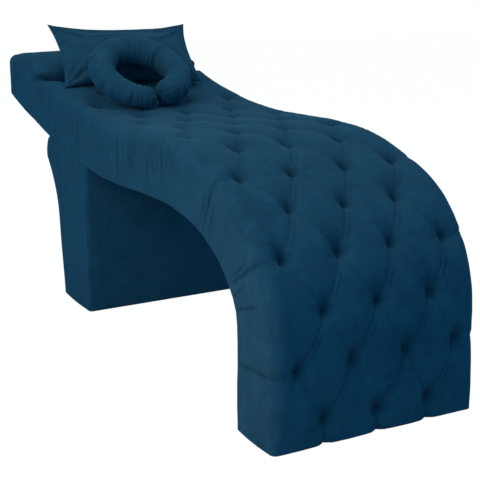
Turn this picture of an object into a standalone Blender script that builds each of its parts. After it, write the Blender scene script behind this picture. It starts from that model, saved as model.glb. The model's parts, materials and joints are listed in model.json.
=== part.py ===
"""Eyelash extension bed: an upholstered couch whose tufted deck pours down to the floor at the foot.

A pedestal carries it under the shoulders, the head end hangs free, and a pillow and a horseshoe neck
cushion lie loose on top. Metres, +Z up, +Y towards the head, origin on the floor under the middle.
A reach is a distance from the foot face towards the head.
"""

import math

import bmesh
import bpy
from mathutils import Matrix, Vector
from mathutils.bvhtree import BVHTree

# Overall sizes and fits
BED_LENGTH = 1.925
BED_WIDTH = 0.600
HEM_HEIGHT = 0.004
GAP = 0.0003

# Side profile of the deck board's top
KNEE_START = 0.250
KNEE_REACH = 0.600
KNEE_POWER = 0.95
HUMP_HEIGHT = 0.600
DIP_REACH = 1.030
DIP_HEIGHT = 0.585
HEAD_RISE = 0.153
HEAD_POWER = 1.60

# Underside of the frame
FRAME_DEPTH = 0.113
LEG_TIMBER = 0.104
LEG_SPREAD = 0.017
ARCH_LIFT = 0.080
ARCH_SETBACK = 0.020

# Padding
PAD_THICKNESS = 0.065
PAD_CORNER = 0.038
CORNER_SHARE = 0.8
SIDE_PADDING = 0.014
HEAD_PAD_LENGTH = 0.382
HEAD_PAD_THICKNESS = 0.082
HEAD_PAD_ROLL = 0.060
HEAD_PAD_END = 0.032
HEAD_PAD_FALL = 0.170
HEAD_END_PADDING = 0.026
HEAD_END_FULLNESS = 0.5

# Tufting: staggered rows of three and four buttons, closer over the foot than on the deck
WIDE_ROW_BUTTONS = 4
OUTER_BUTTON_INSET = 0.069
FIRST_ROW = 0.048
FOOT_ROW_SPACING = 0.139
FOOT_ROW_STEPS = 5
DECK_ROW_SPACING = 0.157
BUTTON_DEPTH = 0.020
PLEAT_DEPTH = 0.008
DIMPLE_RADIUS = 0.022

# Timber frame
SIDE_BOARD = 0.018
DECK_BOARD = 0.004
LINING = 0.004
BATTEN_WIDTH = 0.040
BATTEN_HEIGHT = 0.022
BATTEN_COUNT = 8
FOOT_RAIL_HEIGHT = 0.045
HEAD_RAIL = 0.020
BEARER_WIDTH = 0.060
BEARER_HEIGHT = 0.045

# Pedestal
HEAD_OVERHANG = 0.420
BASE_TOP_DEPTH = 0.325
BASE_FLOOR_DEPTH = 0.240
BASE_REAR_LEAN = 0.100
LIP_DROP = 0.073
FLARE_HEIGHT = 0.205
FLARE_REACH = 0.085
BASE_PADDING = 0.012
BASE_TOP_BOARD = 0.018
BASE_SIDE_PANEL = 0.015
BASE_FRONT_PANEL = 0.012
BASE_REAR_PANEL = 0.006
BASE_RAIL_WIDTH = 0.040
BASE_RAIL_HEIGHT = 0.045

# Glides under the foot and the pedestal
GLIDE_HEIGHT = 0.003
GLIDE_RADIUS = 0.015
GLIDE_CHAMFER = 0.0015
GLIDE_MARGIN = 0.006

# Bolts that join deck and pedestal
BOLT_RADIUS = 0.004
BOLT_HEAD_RADIUS = 0.0095
BOLT_HEAD_HEIGHT = 0.0045
BOLT_CLEARANCE = 0.0005
BOLT_SPREAD = 0.200
BOLT_END = 0.004
WASHER_RADIUS = 0.011
WASHER_THICKNESS = 0.0016
NUT_RADIUS = 0.0075
NUT_HEIGHT = 0.0065

# Loose pillow, standing on its long edge and leaning on the head pad
PILLOW_WIDTH = 0.478
PILLOW_HEIGHT = 0.272
PILLOW_FRONT = 0.088
PILLOW_BACK = 0.0772
PILLOW_PULL = 0.018
PILLOW_SAG = 0.028
PILLOW_FULLNESS = 0.60
PILLOW_SETTLING = 0.30
PILLOW_LEAN = math.radians(47.0)
PILLOW_TURN = math.radians(-7.0)
PILLOW_SETBACK = 0.1434
PILLOW_OFFSET = -0.030

# Loose neck cushion, its closed end propped on the pillow
NECK_TUBE = 0.0445
NECK_BEND = 0.1240
NECK_MOUTH = 0.008
NECK_TILT = math.radians(29.0)
NECK_TURN = math.radians(3.0)
NECK_SETBACK = 0.2921
NECK_OFFSET = -0.074

# Fineness of curved faces
CURVE_STEPS = 120
ARCH_STEPS = 8
ARCH_ROOF_STEPS = 6
HEAD_FLOOR_STEPS = 4
HEAD_END_STEPS = 10
FLARE_STEPS = 6
LIP_STEPS = 4
ROW_PARTS = 4
COLUMN_PARTS = 4
HEAD_PARTS = 12
ROUND_STEPS = 16
BOLT_HEAD_STEPS = 3
NUT_SIDES = 6
EDGE_ANGLES = (0.0, math.radians(50.0), math.radians(90.0))
PILLOW_CELLS = (14, 9)
NECK_BEND_STEPS = 20
NECK_TUBE_ROUNDING = 4
NECK_END_STEPS = 3
NECK_END_ANGLE = math.radians(75.0)
SETTLE_STEP = 0.004
SETTLE_HALVINGS = 8
SETTLE_LIFT = 0.0006
WELD = 1e-6

# Colours in linear values, with roughness and metallic
VELVET = ((0.010, 0.047, 0.086), 0.9, 0.0)
PINE = ((0.560, 0.370, 0.190), 0.8, 0.0)
PLYWOOD = ((0.480, 0.310, 0.170), 0.8, 0.0)
HARDBOARD = ((0.210, 0.120, 0.065), 0.6, 0.0)
ZINC = ((0.560, 0.570, 0.580), 0.4, 1.0)
NYLON = ((0.020, 0.020, 0.022), 0.5, 0.0)

# Values that follow from the sizes above
RIGHT_ANGLE = math.pi / 2
HALF_LENGTH = BED_LENGTH / 2
HALF_WIDTH = BED_WIDTH / 2
FRAME_END = BED_LENGTH - HEAD_END_PADDING
CREASE_REACH = BED_LENGTH - HEAD_PAD_LENGTH
LEG_REAR = PAD_THICKNESS + LEG_TIMBER
ARCH_START = KNEE_START + ARCH_LIFT
ARCH_REACH = KNEE_REACH + ARCH_SETBACK
OUTER_PLACE = (WIDE_ROW_BUTTONS - 1) / 2
BUTTON_SPACING = (HALF_WIDTH - OUTER_BUTTON_INSET) / OUTER_PLACE
BOARD_OUTER = HALF_WIDTH - SIDE_PADDING - GAP
BOARD_INNER = BOARD_OUTER - SIDE_BOARD
RAIL_END = BOARD_INNER - GAP
RAIL_BOTTOM = GLIDE_HEIGHT + GAP
FOOT_RAIL_FRONT = PAD_THICKNESS + DECK_BOARD + 2 * GAP
FOOT_RAIL_REAR = LEG_REAR - LINING - GAP
BASE_TOP_REAR = BED_LENGTH - HEAD_OVERHANG
BASE_FRONT = BASE_TOP_REAR - BASE_TOP_DEPTH


def clear_scene():
    """Empty the scene and make the two collections."""
    for item in list(bpy.data.objects):
        bpy.data.objects.remove(item, do_unlink=True)
    bed = bpy.data.collections.new("eyelash_extension_bed")
    cutters = bpy.data.collections.new("cutters")
    for group in (bed, cutters):
        bpy.context.scene.collection.children.link(group)
    cutters.hide_render = True
    return bed, cutters


BED, CUTTERS = clear_scene()


def finish(name, look):
    """A plain material."""
    colour, roughness, metallic = look
    material = bpy.data.materials.new(name)
    material.use_nodes = True
    shader = material.node_tree.nodes["Principled BSDF"]
    shader.inputs["Base Color"].default_value = (*colour, 1.0)
    shader.inputs["Roughness"].default_value = roughness
    shader.inputs["Metallic"].default_value = metallic
    material.diffuse_color = (*colour, 1.0)
    return material


def place(name, data, look):
    """Add one sub-part with a material of its own."""
    piece = bpy.data.objects.new(name, data)
    data.materials.clear()
    data.materials.append(finish(name, look))
    BED.objects.link(piece)
    return piece


def as_mesh(piece):
    """Turn a curve sub-part into a welded mesh in place, so that it can be cut."""
    bpy.context.view_layer.update()
    graph = bpy.context.evaluated_depsgraph_get()
    data = bpy.data.meshes.new_from_object(piece.evaluated_get(graph))
    body = bmesh.new()
    body.from_mesh(data)
    bmesh.ops.remove_doubles(body, verts=body.verts, dist=WELD)
    bmesh.ops.recalc_face_normals(body, faces=body.faces)
    body.to_mesh(data)
    body.free()
    name = piece.name
    matrix = piece.matrix_world.copy()
    curve = piece.data
    bpy.data.objects.remove(piece, do_unlink=True)
    bpy.data.curves.remove(curve)
    solid = bpy.data.objects.new(name, data)
    solid.matrix_world = matrix
    BED.objects.link(solid)
    return solid


def prism(name, outline, x_low, x_high, look):
    """A flat outline in the side view, extruded across the bed between two x values."""
    curve = bpy.data.curves.new(name, "CURVE")
    curve.dimensions = "2D"
    curve.fill_mode = "BOTH"
    curve.extrude = (x_high - x_low) / 2
    spline = curve.splines.new("POLY")
    spline.points.add(len(outline) - 1)
    for point, (reach, height) in zip(spline.points, outline):
        point.co = (reach - HALF_LENGTH, height, 0.0, 1.0)
    spline.use_cyclic_u = True
    piece = place(name, curve, look)
    piece.rotation_euler = (RIGHT_ANGLE, 0.0, RIGHT_ANGLE)
    piece.location.x = (x_low + x_high) / 2
    return piece


def pair(name, outline, inner, outer, look):
    """The same board or cover on the left and on the right."""
    prism(f"left_{name}", outline, -outer, -inner, look)
    prism(f"right_{name}", outline, inner, outer, look)


def turned(name, profile, steps, frame, look):
    """A turned piece: (radius, height) pairs running down its outer side, swept about its own Z axis."""
    mesh = bpy.data.meshes.new(name)
    body = bmesh.new()
    points = [body.verts.new((radius, 0.0, height)) for radius, height in profile]
    for first, second in zip(points, points[1:]):
        body.edges.new((first, second))
    body.to_mesh(mesh)
    body.free()
    piece = place(name, mesh, look)
    sweep = piece.modifiers.new("sweep", "SCREW")
    sweep.steps = steps
    sweep.render_steps = steps
    sweep.use_merge_vertices = True
    sweep.merge_threshold = WELD
    piece.matrix_world = frame
    return piece


def drill(piece, frames, radius, depth):
    """Cut one round hole through the piece along each frame's Z axis."""
    for number, frame in enumerate(frames, 1):
        mesh = bpy.data.meshes.new(f"{piece.name}_hole_{number}")
        body = bmesh.new()
        bmesh.ops.create_cone(
            body, cap_ends=True, segments=ROUND_STEPS, radius1=radius, radius2=radius, depth=depth
        )
        body.to_mesh(mesh)
        body.free()
        cutter = bpy.data.objects.new(mesh.name, mesh)
        cutter.matrix_world = frame
        cutter.hide_render = True
        cutter.display_type = "WIRE"
        CUTTERS.objects.link(cutter)
        cut = piece.modifiers.new(f"hole_{number}", "BOOLEAN")
        cut.operation = "DIFFERENCE"
        cut.object = cutter


def spread(low, high, steps):
    """Evenly spaced values from low to high, both included."""
    return [low + (high - low) * step / steps for step in range(steps + 1)]


def deck_height(reach):
    """Height of the deck board's top beyond the knee: down into the dip, then up to the head."""
    if reach <= DIP_REACH:
        share = (reach - KNEE_REACH) / (DIP_REACH - KNEE_REACH)
        return DIP_HEIGHT + (HUMP_HEIGHT - DIP_HEIGHT) * (1 + math.cos(math.pi * share)) / 2
    share = (reach - DIP_REACH) / (BED_LENGTH - DIP_REACH)
    return DIP_HEIGHT + HEAD_RISE * share**HEAD_POWER


def knee_point(angle):
    """Point of the deck board's top on the knee's bend."""
    return (
        KNEE_REACH - (KNEE_REACH - PAD_THICKNESS) * max(math.cos(angle), 0.0) ** KNEE_POWER,
        KNEE_START + (HUMP_HEIGHT - KNEE_START) * math.sin(angle) ** KNEE_POWER,
    )


def arch_point(angle):
    """Point of the underside on the arch behind the foot."""
    crown = deck_height(ARCH_REACH) - FRAME_DEPTH
    return (
        ARCH_REACH - (ARCH_REACH - LEG_REAR - LEG_SPREAD) * math.cos(angle),
        ARCH_START + (crown - ARCH_START) * math.sin(angle),
    )


def with_normals(line, side):
    """Each point with the unit normal on the given side."""
    found = []
    for index, point in enumerate(line):
        before = line[max(index - 1, 0)]
        after = line[min(index + 1, len(line) - 1)]
        along = Vector((after[0] - before[0], after[1] - before[1])).normalized()
        found.append((Vector(point), side * Vector((-along.y, along.x))))
    return found


def plumb_end(line):
    """The line with its last normal upright, so that layers end on one plumb face."""
    point, normal = line[-1]
    return line[:-1] + [(point, Vector((0.0, 1 / normal.y)))]


def offset(line, distance):
    """The line moved along its normals."""
    return [tuple(point + normal * distance) for point, normal in line]


SMOOTH_DECK = with_normals(
    [(PAD_THICKNESS, height) for height in spread(HEM_HEIGHT, KNEE_START, CURVE_STEPS)]
    + [knee_point(angle) for angle in spread(0.0, RIGHT_ANGLE, CURVE_STEPS)[1:]]
    + [(reach, deck_height(reach)) for reach in spread(KNEE_REACH, FRAME_END, CURVE_STEPS)[1:]],
    1,
)


def crown_lengths():
    """Arc length along the padded crown at each point of the smooth deck line."""
    crown = [Vector(point) for point in offset(SMOOTH_DECK, PAD_THICKNESS)]
    lengths = [0.0]
    for first, second in zip(crown, crown[1:]):
        lengths.append(lengths[-1] + (second - first).length)
    return lengths


CROWN = crown_lengths()


def at_length(length):
    """Point and normal of the smooth deck line at an arc length along the crown."""
    index = 1
    while index < len(CROWN) - 1 and CROWN[index] < length:
        index += 1
    share = (length - CROWN[index - 1]) / (CROWN[index] - CROWN[index - 1])
    (first, normal), (second, next_normal) = SMOOTH_DECK[index - 1 : index + 1]
    return first.lerp(second, share), normal.lerp(next_normal, share).normalized()


def tuft_rows():
    """Arc lengths of the button rows, ending with the crease before the head pad."""
    rows = [FIRST_ROW + FOOT_ROW_SPACING * step for step in range(FOOT_ROW_STEPS + 1)]
    crease = next(
        length for length, (point, _) in zip(CROWN, SMOOTH_DECK) if point.x >= CREASE_REACH
    )
    steps = round((crease - rows[-1]) / DECK_ROW_SPACING)
    return rows[:-1] + spread(rows[-1], crease, steps)


ROWS = tuft_rows()
CREASE_ROW = len(ROWS) - 1


def tuft_stations():
    """Row number and arc length of each cross-section of the tufted pad."""
    hem_row = -FIRST_ROW / FOOT_ROW_SPACING
    found = list(zip(spread(hem_row, 0.0, 2), spread(0.0, FIRST_ROW, 2)))
    for row in range(CREASE_ROW):
        found += zip(
            spread(row, row + 1, ROW_PARTS)[1:], spread(ROWS[row], ROWS[row + 1], ROW_PARTS)[1:]
        )
    return found


TUFT_STATIONS = tuft_stations()
HEAD_LENGTHS = spread(ROWS[-1], CROWN[-1], HEAD_PARTS)
PAD_LENGTHS = [length for _, length in TUFT_STATIONS] + HEAD_LENGTHS[1:]
DECK = plumb_end([at_length(length) for length in PAD_LENGTHS[::2]])


def pad_seat(index):
    """Point of the faceted deck line under a cross-section: at a corner or halfway along a facet."""
    first = DECK[index // 2][0]
    return first if index % 2 == 0 else (first + DECK[index // 2 + 1][0]) / 2


def underside_height(reach):
    """Height of the underside beyond the arch; it is straight over the pedestal."""
    if BASE_FRONT < reach < BASE_TOP_REAR:
        share = (reach - BASE_FRONT) / BASE_TOP_DEPTH
        front = deck_height(BASE_FRONT)
        rear = deck_height(BASE_TOP_REAR)
        return front + (rear - front) * share - FRAME_DEPTH
    return deck_height(reach) - FRAME_DEPTH


ARCH_REACHES = spread(ARCH_REACH, BASE_FRONT, ARCH_ROOF_STEPS)[1:] + [BASE_FRONT + BASE_PADDING]
HEAD_REACHES = [BASE_TOP_REAR - BASE_PADDING] + spread(BASE_TOP_REAR, FRAME_END, HEAD_FLOOR_STEPS)
UNDERSIDE = with_normals(
    [(LEG_REAR, HEM_HEIGHT)]
    + [arch_point(angle) for angle in spread(0.0, RIGHT_ANGLE, ARCH_STEPS)]
    + [(reach, underside_height(reach)) for reach in ARCH_REACHES + HEAD_REACHES],
    -1,
)
UNDERSIDE = plumb_end(UNDERSIDE)
ARCH_PART = UNDERSIDE[: -len(HEAD_REACHES)]
HEAD_PART = UNDERSIDE[-len(HEAD_REACHES) :]


def band(upper, lower):
    """Outline between two lines that run the same way."""
    return upper + lower[::-1]


def build_boards():
    """Side boards, bent deck board and the lining of the underside."""
    side = band(offset(DECK, -DECK_BOARD - GAP), offset(UNDERSIDE, -LINING - GAP))
    pair("side_board", side, BOARD_INNER, BOARD_OUTER, PLYWOOD)
    deck_board = band(offset(DECK, -GAP), offset(DECK, -DECK_BOARD))
    prism("deck_board", deck_board, -BOARD_OUTER, BOARD_OUTER, HARDBOARD)
    for name, part in (("arch_lining", ARCH_PART), ("head_lining", HEAD_PART)):
        lining = band(offset(part, -LINING), offset(part, 0.0))
        prism(name, lining, -BOARD_OUTER, BOARD_OUTER, VELVET)


def block(origin, along, up, length, height):
    """Outline of a rectangle that stands on the origin."""
    half = along * (length / 2)
    rise = up * height
    corners = (origin - half, origin + half, origin + half + rise, origin - half + rise)
    return [tuple(corner) for corner in corners]


def height_at_end(line, reach):
    """Height of a line's last stretch at a reach."""
    (low, low_height), (high, high_height) = line[-2:]
    return low_height + (high_height - low_height) * (reach - low) / (high - low)


def build_rails():
    """Battens under the deck board, the rail at the floor and the rail at the head."""
    facets = list(zip(DECK, DECK[1:]))[2:-1]
    for number in range(BATTEN_COUNT):
        (first, _), (second, _) = facets[round((len(facets) - 1) * number / (BATTEN_COUNT - 1))]
        along = (second - first).normalized()
        inward = Vector((along.y, -along.x))
        seat = (first + second) / 2 + inward * (DECK_BOARD + GAP)
        outline = block(seat, along, inward, BATTEN_WIDTH, BATTEN_HEIGHT)
        prism(f"deck_batten_{number + 1}", outline, -RAIL_END, RAIL_END, PINE)

    middle = Vector(((FOOT_RAIL_FRONT + FOOT_RAIL_REAR) / 2, RAIL_BOTTOM))
    depth = FOOT_RAIL_REAR - FOOT_RAIL_FRONT
    foot = block(middle, Vector((1.0, 0.0)), Vector((0.0, 1.0)), depth, FOOT_RAIL_HEIGHT)
    prism("foot_rail", foot, -RAIL_END, RAIL_END, PINE)

    upper = offset(DECK, -DECK_BOARD - GAP)
    lower = offset(UNDERSIDE, -LINING - GAP)
    inner = FRAME_END - HEAD_RAIL
    head = [(reach, height_at_end(lower, reach)) for reach in (inner, FRAME_END)]
    head += [(reach, height_at_end(upper, reach)) for reach in (FRAME_END, inner)]
    prism("head_rail", head, -RAIL_END, RAIL_END, PINE)


def seat_frame():
    """Origin, tangent and upward normal of the straight seat between frame and pedestal."""
    front = Vector((BASE_FRONT, underside_height(BASE_FRONT)))
    rear = Vector((BASE_TOP_REAR, underside_height(BASE_TOP_REAR)))
    along = (rear - front).normalized()
    return front, along, Vector((-along.y, along.x))


SEAT, SEAT_ALONG, SEAT_UP = seat_frame()
COVER_TOP = -GAP
TOP_BOARD_TOP = LINING - GAP
TOP_BOARD_BOTTOM = TOP_BOARD_TOP - BASE_TOP_BOARD
TOP_BOARD_FRONT = BASE_FRONT + BASE_PADDING + 2 * GAP
TOP_BOARD_REAR = BASE_TOP_REAR - BASE_PADDING - 2 * GAP
BEARER_BOTTOM = LINING + GAP
BEARER_REACHES = (TOP_BOARD_FRONT + BEARER_WIDTH, TOP_BOARD_REAR - BEARER_WIDTH)


def seat_point(reach, rise):
    """Point at a reach along the bed and a rise square to the seat."""
    base = SEAT + SEAT_ALONG * ((reach - BASE_FRONT) / SEAT_ALONG.x)
    return tuple(base + SEAT_UP * rise)


def seat_matrix(x, reach):
    """World matrix on the seat with +Z square to it."""
    level, height = seat_point(reach, 0.0)
    across = Vector((1.0, 0.0, 0.0))
    along = Vector((0.0, SEAT_ALONG.x, SEAT_ALONG.y))
    up = Vector((0.0, SEAT_UP.x, SEAT_UP.y))
    matrix = Matrix((across, along, up)).transposed().to_4x4()
    matrix.translation = (x, level - HALF_LENGTH, height)
    return matrix


def ring(inner, outer, low, height):
    """Profile of a plain ring, closed on itself."""
    high = low + height
    return [(inner, high), (outer, high), (outer, low), (inner, low), (inner, high)]


def build_joint():
    """Bearers in the deck frame, the pedestal's top board and the bolts between them."""
    frames = [
        seat_matrix(x, reach) for reach in BEARER_REACHES for x in (-BOLT_SPREAD, BOLT_SPREAD)
    ]
    hole = BOLT_RADIUS + BOLT_CLEARANCE
    bearer_top = BEARER_BOTTOM + BEARER_HEIGHT
    depth = 2 * (bearer_top + BASE_TOP_BOARD)

    reaches = (TOP_BOARD_FRONT, TOP_BOARD_REAR)
    outline = [seat_point(reach, TOP_BOARD_BOTTOM) for reach in reaches]
    outline += [seat_point(reach, TOP_BOARD_TOP) for reach in reaches[::-1]]
    half = HALF_WIDTH - max(SIDE_PADDING, BASE_PADDING) - GAP
    drill(as_mesh(prism("base_top_board", outline, -half, half, PLYWOOD)), frames, hole, depth)

    for number, reach in enumerate(BEARER_REACHES, 1):
        stand = Vector(seat_point(reach, BEARER_BOTTOM))
        outline = block(stand, SEAT_ALONG, SEAT_UP, BEARER_WIDTH, BEARER_HEIGHT)
        bearer = as_mesh(prism(f"bearer_{number}", outline, -RAIL_END, RAIL_END, PINE))
        drill(bearer, frames[2 * number - 2 : 2 * number], hole, depth)

    head_top = TOP_BOARD_BOTTOM - GAP
    washer_low = bearer_top + GAP
    nut_low = washer_low + WASHER_THICKNESS + GAP
    tip = nut_low + NUT_HEIGHT + BOLT_END
    bolt = [(0.0, tip), (BOLT_RADIUS, tip), (BOLT_RADIUS, head_top)]
    for angle in spread(0.0, RIGHT_ANGLE, BOLT_HEAD_STEPS)[:-1]:
        bolt.append((BOLT_HEAD_RADIUS * math.cos(angle), head_top - BOLT_HEAD_HEIGHT * math.sin(angle)))
    bolt.append((0.0, head_top - BOLT_HEAD_HEIGHT))
    washer = ring(hole, WASHER_RADIUS, washer_low, WASHER_THICKNESS)
    nut_bore = (BOLT_RADIUS + GAP) / math.cos(math.pi / NUT_SIDES)
    nut = ring(nut_bore, NUT_RADIUS, nut_low, NUT_HEIGHT)
    for number, frame in enumerate(frames, 1):
        turned(f"bolt_{number}", bolt, ROUND_STEPS, frame, ZINC)
        turned(f"washer_{number}", washer, ROUND_STEPS, frame, ZINC)
        turned(f"nut_{number}", nut, NUT_SIDES, frame, ZINC)


LIP_HEIGHT = seat_point(BASE_TOP_REAR, COVER_TOP)[1] - LIP_DROP
FLARE_START = LIP_HEIGHT - FLARE_HEIGHT


def rear_line(distance, bottom=HEM_HEIGHT):
    """The pedestal's rear face up to the lip, moved inwards: it leans back, then flares under the deck."""
    line = []
    for height in [bottom] + spread(FLARE_START, LIP_HEIGHT, FLARE_STEPS):
        flare = max(height - FLARE_START, 0.0) / FLARE_HEIGHT
        reach = BASE_FRONT + BASE_FLOOR_DEPTH + BASE_REAR_LEAN * height + FLARE_REACH * flare**2
        line.append((reach - distance, height))
    return line


PANEL_FRONT = BASE_FRONT + BASE_PADDING + GAP
PANEL_REAR = BASE_PADDING + GAP
SIDE_FRONT = PANEL_FRONT + BASE_FRONT_PANEL + GAP
SIDE_REAR = rear_line(PANEL_REAR + BASE_REAR_PANEL + GAP, RAIL_BOTTOM)
COVER_INNER = HALF_WIDTH - BASE_PADDING
PANEL_OUTER = COVER_INNER - GAP
PANEL_INNER = PANEL_OUTER - BASE_SIDE_PANEL
BASE_RAIL_END = PANEL_INNER - GAP
BASE_RAILS = (SIDE_FRONT + BASE_RAIL_WIDTH / 2, SIDE_REAR[0][0] - BASE_RAIL_WIDTH / 2)


def build_base_covers():
    """Padded velvet facings of the pedestal; the rear one rolls over into a lip under the deck."""
    top_reach, top_height = seat_point(BASE_TOP_REAR, COVER_TOP)
    lip_reach = rear_line(0.0)[-1][0]
    lip = [
        (
            top_reach + (lip_reach - top_reach) * math.cos(angle),
            LIP_HEIGHT + (top_height - LIP_HEIGHT) * math.sin(angle),
        )
        for angle in spread(0.0, RIGHT_ANGLE, LIP_STEPS)[1:]
    ]
    inner_top = seat_point(BASE_TOP_REAR - BASE_PADDING, COVER_TOP)
    rear = rear_line(0.0) + lip + [inner_top] + rear_line(BASE_PADDING)[::-1]
    prism("base_rear_cover", rear, -HALF_WIDTH, HALF_WIDTH, VELVET)

    reaches = (BASE_FRONT, BASE_FRONT + BASE_PADDING)
    front = [(reach, HEM_HEIGHT) for reach in reaches]
    front += [seat_point(reach, COVER_TOP) for reach in reaches[::-1]]
    prism("base_front_cover", front, -HALF_WIDTH, HALF_WIDTH, VELVET)

    side = [(PANEL_FRONT, HEM_HEIGHT)] + rear_line(PANEL_REAR)
    side += [seat_point(reach, COVER_TOP) for reach in (BASE_TOP_REAR - PANEL_REAR, PANEL_FRONT)]
    pair("base_cover", side, COVER_INNER, HALF_WIDTH, VELVET)


def build_base_box():
    """Plywood box of the pedestal with a rail along its front and rear at the floor."""
    panel_top = TOP_BOARD_BOTTOM - GAP
    reaches = (PANEL_FRONT, PANEL_FRONT + BASE_FRONT_PANEL)
    front = [(reach, RAIL_BOTTOM) for reach in reaches]
    front += [seat_point(reach, panel_top) for reach in reaches[::-1]]
    prism("base_front_panel", front, -PANEL_OUTER, PANEL_OUTER, PLYWOOD)

    rear = band(
        rear_line(PANEL_REAR, RAIL_BOTTOM), rear_line(PANEL_REAR + BASE_REAR_PANEL, RAIL_BOTTOM)
    )
    prism("base_rear_panel", rear, -PANEL_OUTER, PANEL_OUTER, PLYWOOD)

    side = [(SIDE_FRONT, RAIL_BOTTOM)] + SIDE_REAR
    side += [seat_point(reach, panel_top) for reach in (TOP_BOARD_REAR, SIDE_FRONT)]
    pair("base_panel", side, PANEL_INNER, PANEL_OUTER, PLYWOOD)

    for name, reach in zip(("base_front_rail", "base_rear_rail"), BASE_RAILS):
        stand = Vector((reach, RAIL_BOTTOM))
        rail = block(stand, Vector((1.0, 0.0)), Vector((0.0, 1.0)), BASE_RAIL_WIDTH, BASE_RAIL_HEIGHT)
        prism(name, rail, -BASE_RAIL_END, BASE_RAIL_END, PINE)


def build_glides():
    """Nylon glides under the foot rail and under the pedestal's rails."""
    inset = GLIDE_RADIUS + GLIDE_MARGIN
    foot = (FOOT_RAIL_FRONT + inset, FOOT_RAIL_REAR - inset)
    profile = [(0.0, GLIDE_HEIGHT), (GLIDE_RADIUS, GLIDE_HEIGHT), (GLIDE_RADIUS, GLIDE_CHAMFER)]
    profile += [(GLIDE_RADIUS - GLIDE_CHAMFER, 0.0), (0.0, 0.0)]
    for where, reaches, end in (("foot", foot, RAIL_END), ("base", BASE_RAILS, BASE_RAIL_END)):
        spots = [(side * (end - inset), reach) for reach in reaches for side in (-1, 1)]
        for number, (x, reach) in enumerate(spots, 1):
            frame = Matrix.Translation((x, reach - HALF_LENGTH, 0.0))
            turned(f"{where}_glide_{number}", profile, ROUND_STEPS, frame, NYLON)


def loft(name, sections):
    """A closed velvet skin through sections of equal point count, made from a grid whose sides are welded."""
    rows = len(sections)
    columns = len(sections[0])
    mesh = bpy.data.meshes.new(name)
    body = bmesh.new()
    bmesh.ops.create_grid(body, x_segments=columns, y_segments=rows - 1, size=1.0)
    body.verts.ensure_lookup_table()
    for index, vertex in enumerate(body.verts):
        row, column = divmod(index, columns + 1)
        vertex.co = sections[row][column % columns]
    bmesh.ops.remove_doubles(body, verts=body.verts, dist=WELD)
    bmesh.ops.holes_fill(body, edges=body.edges, sides=0)
    bmesh.ops.recalc_face_normals(body, faces=body.faces)
    body.to_mesh(mesh)
    body.free()
    mesh.shade_smooth()
    return place(name, mesh, VELVET)


def tuft_drop(x, row, length):
    """How far the tufted face lies below the crown: pleats join the buttons in diamonds."""
    across = x / BUTTON_SPACING
    along = max(row, 0.0)
    if abs(across) < OUTER_PLACE:
        plump = abs(math.sin(math.pi * (across + along / 2)) * math.sin(math.pi * (across - along / 2)))
    else:
        plump = math.cos(math.pi * along / 2) ** 2
    plump *= min(1.0, CREASE_ROW - row)
    near = max(0, min(round(row), CREASE_ROW - 1))
    shift = OUTER_PLACE % 1 if near % 2 else 0.0
    outer = OUTER_PLACE if near % 2 else OUTER_PLACE - 0.5
    button = max(-outer, min(round(across - shift) + shift, outer))
    away = math.hypot((across - button) * BUTTON_SPACING, length - ROWS[near])
    dimple = (BUTTON_DEPTH - PLEAT_DEPTH) * math.exp(-((away / DIMPLE_RADIUS) ** 2))
    return PLEAT_DEPTH * (1 - math.sqrt(plump)) + dimple


def rounded_edge(height):
    """Places from a pad's flat top out over its edge: x, fall and the share of the tufting left there."""
    corner = min(PAD_CORNER, CORNER_SHARE * height)
    return [
        (HALF_WIDTH - corner * (1 - math.sin(angle)), corner * (1 - math.cos(angle)), math.cos(angle))
        for angle in EDGE_ANGLES
    ]


def section(seat, length, height, drop):
    """Closed outline of a pad across the bed: padded top, rounded edges and flat back."""
    point, normal = at_length(length)
    parts = round(COLUMN_PARTS * OUTER_PLACE)
    columns = [BUTTON_SPACING * step / COLUMN_PARTS for step in range(-parts, parts + 1)]
    top = [(x, drop(x)) for x in columns]
    for x, fall, share in rounded_edge(height):
        edge = fall + share * drop(x)
        top = [(-x, edge)] + top + [(x, edge)]
    placed = [(-HALF_WIDTH, seat)]
    placed += [(x, point + normal * (height - fall)) for x, fall in top]
    placed += [(HALF_WIDTH, seat)]
    return [(x, spot.x - HALF_LENGTH, spot.y) for x, spot in placed]


def build_tufted_pad():
    """Pad of the deck, button-tufted from the hem at the floor up to the crease before the head."""
    sections = [
        section(pad_seat(index), length, PAD_THICKNESS, lambda x: tuft_drop(x, row, length))
        for index, (row, length) in enumerate(TUFT_STATIONS)
    ]
    return loft("tufted_pad", sections)


def build_head_pad():
    """Plain raised pad under the head: it rolls up out of the crease and falls away at the end."""
    first = len(TUFT_STATIONS) - 1
    low = PAD_THICKNESS - PLEAT_DEPTH
    sections = []
    for step, length in enumerate(HEAD_LENGTHS):
        seat = pad_seat(first + step)
        if step == 0:
            length += 2 * GAP
            seat = seat + (pad_seat(first + 1) - seat).normalized() * 2 * GAP
        into = max(HEAD_PAD_ROLL - (seat.x - CREASE_REACH), 0.0) / HEAD_PAD_ROLL
        rise = low + (HEAD_PAD_THICKNESS - low) * math.sqrt(max(1 - into**2, 0.0))
        left = max(HEAD_PAD_FALL - (FRAME_END - seat.x), 0.0) / HEAD_PAD_FALL
        rise -= (HEAD_PAD_THICKNESS - HEAD_PAD_END) * left**2
        sections.append(section(seat, length, rise, lambda x: 0.0))
    return loft("head_pad", sections)


def head_end_outline(fall):
    """Side view of the rounded head end where its top lies a fall below the head pad's crown."""
    top = DECK[-1][0].y + HEAD_PAD_END - fall
    bottom = UNDERSIDE[-1][0].y
    face = FRAME_END + GAP
    outline = [(face, top), (face, bottom)]
    for angle in spread(-RIGHT_ANGLE, RIGHT_ANGLE, HEAD_END_STEPS)[1:-1]:
        bulge = (BED_LENGTH - face) * math.cos(angle) ** HEAD_END_FULLNESS
        outline.append((face + bulge, (top + bottom + (top - bottom) * math.sin(angle)) / 2))
    return outline


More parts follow.
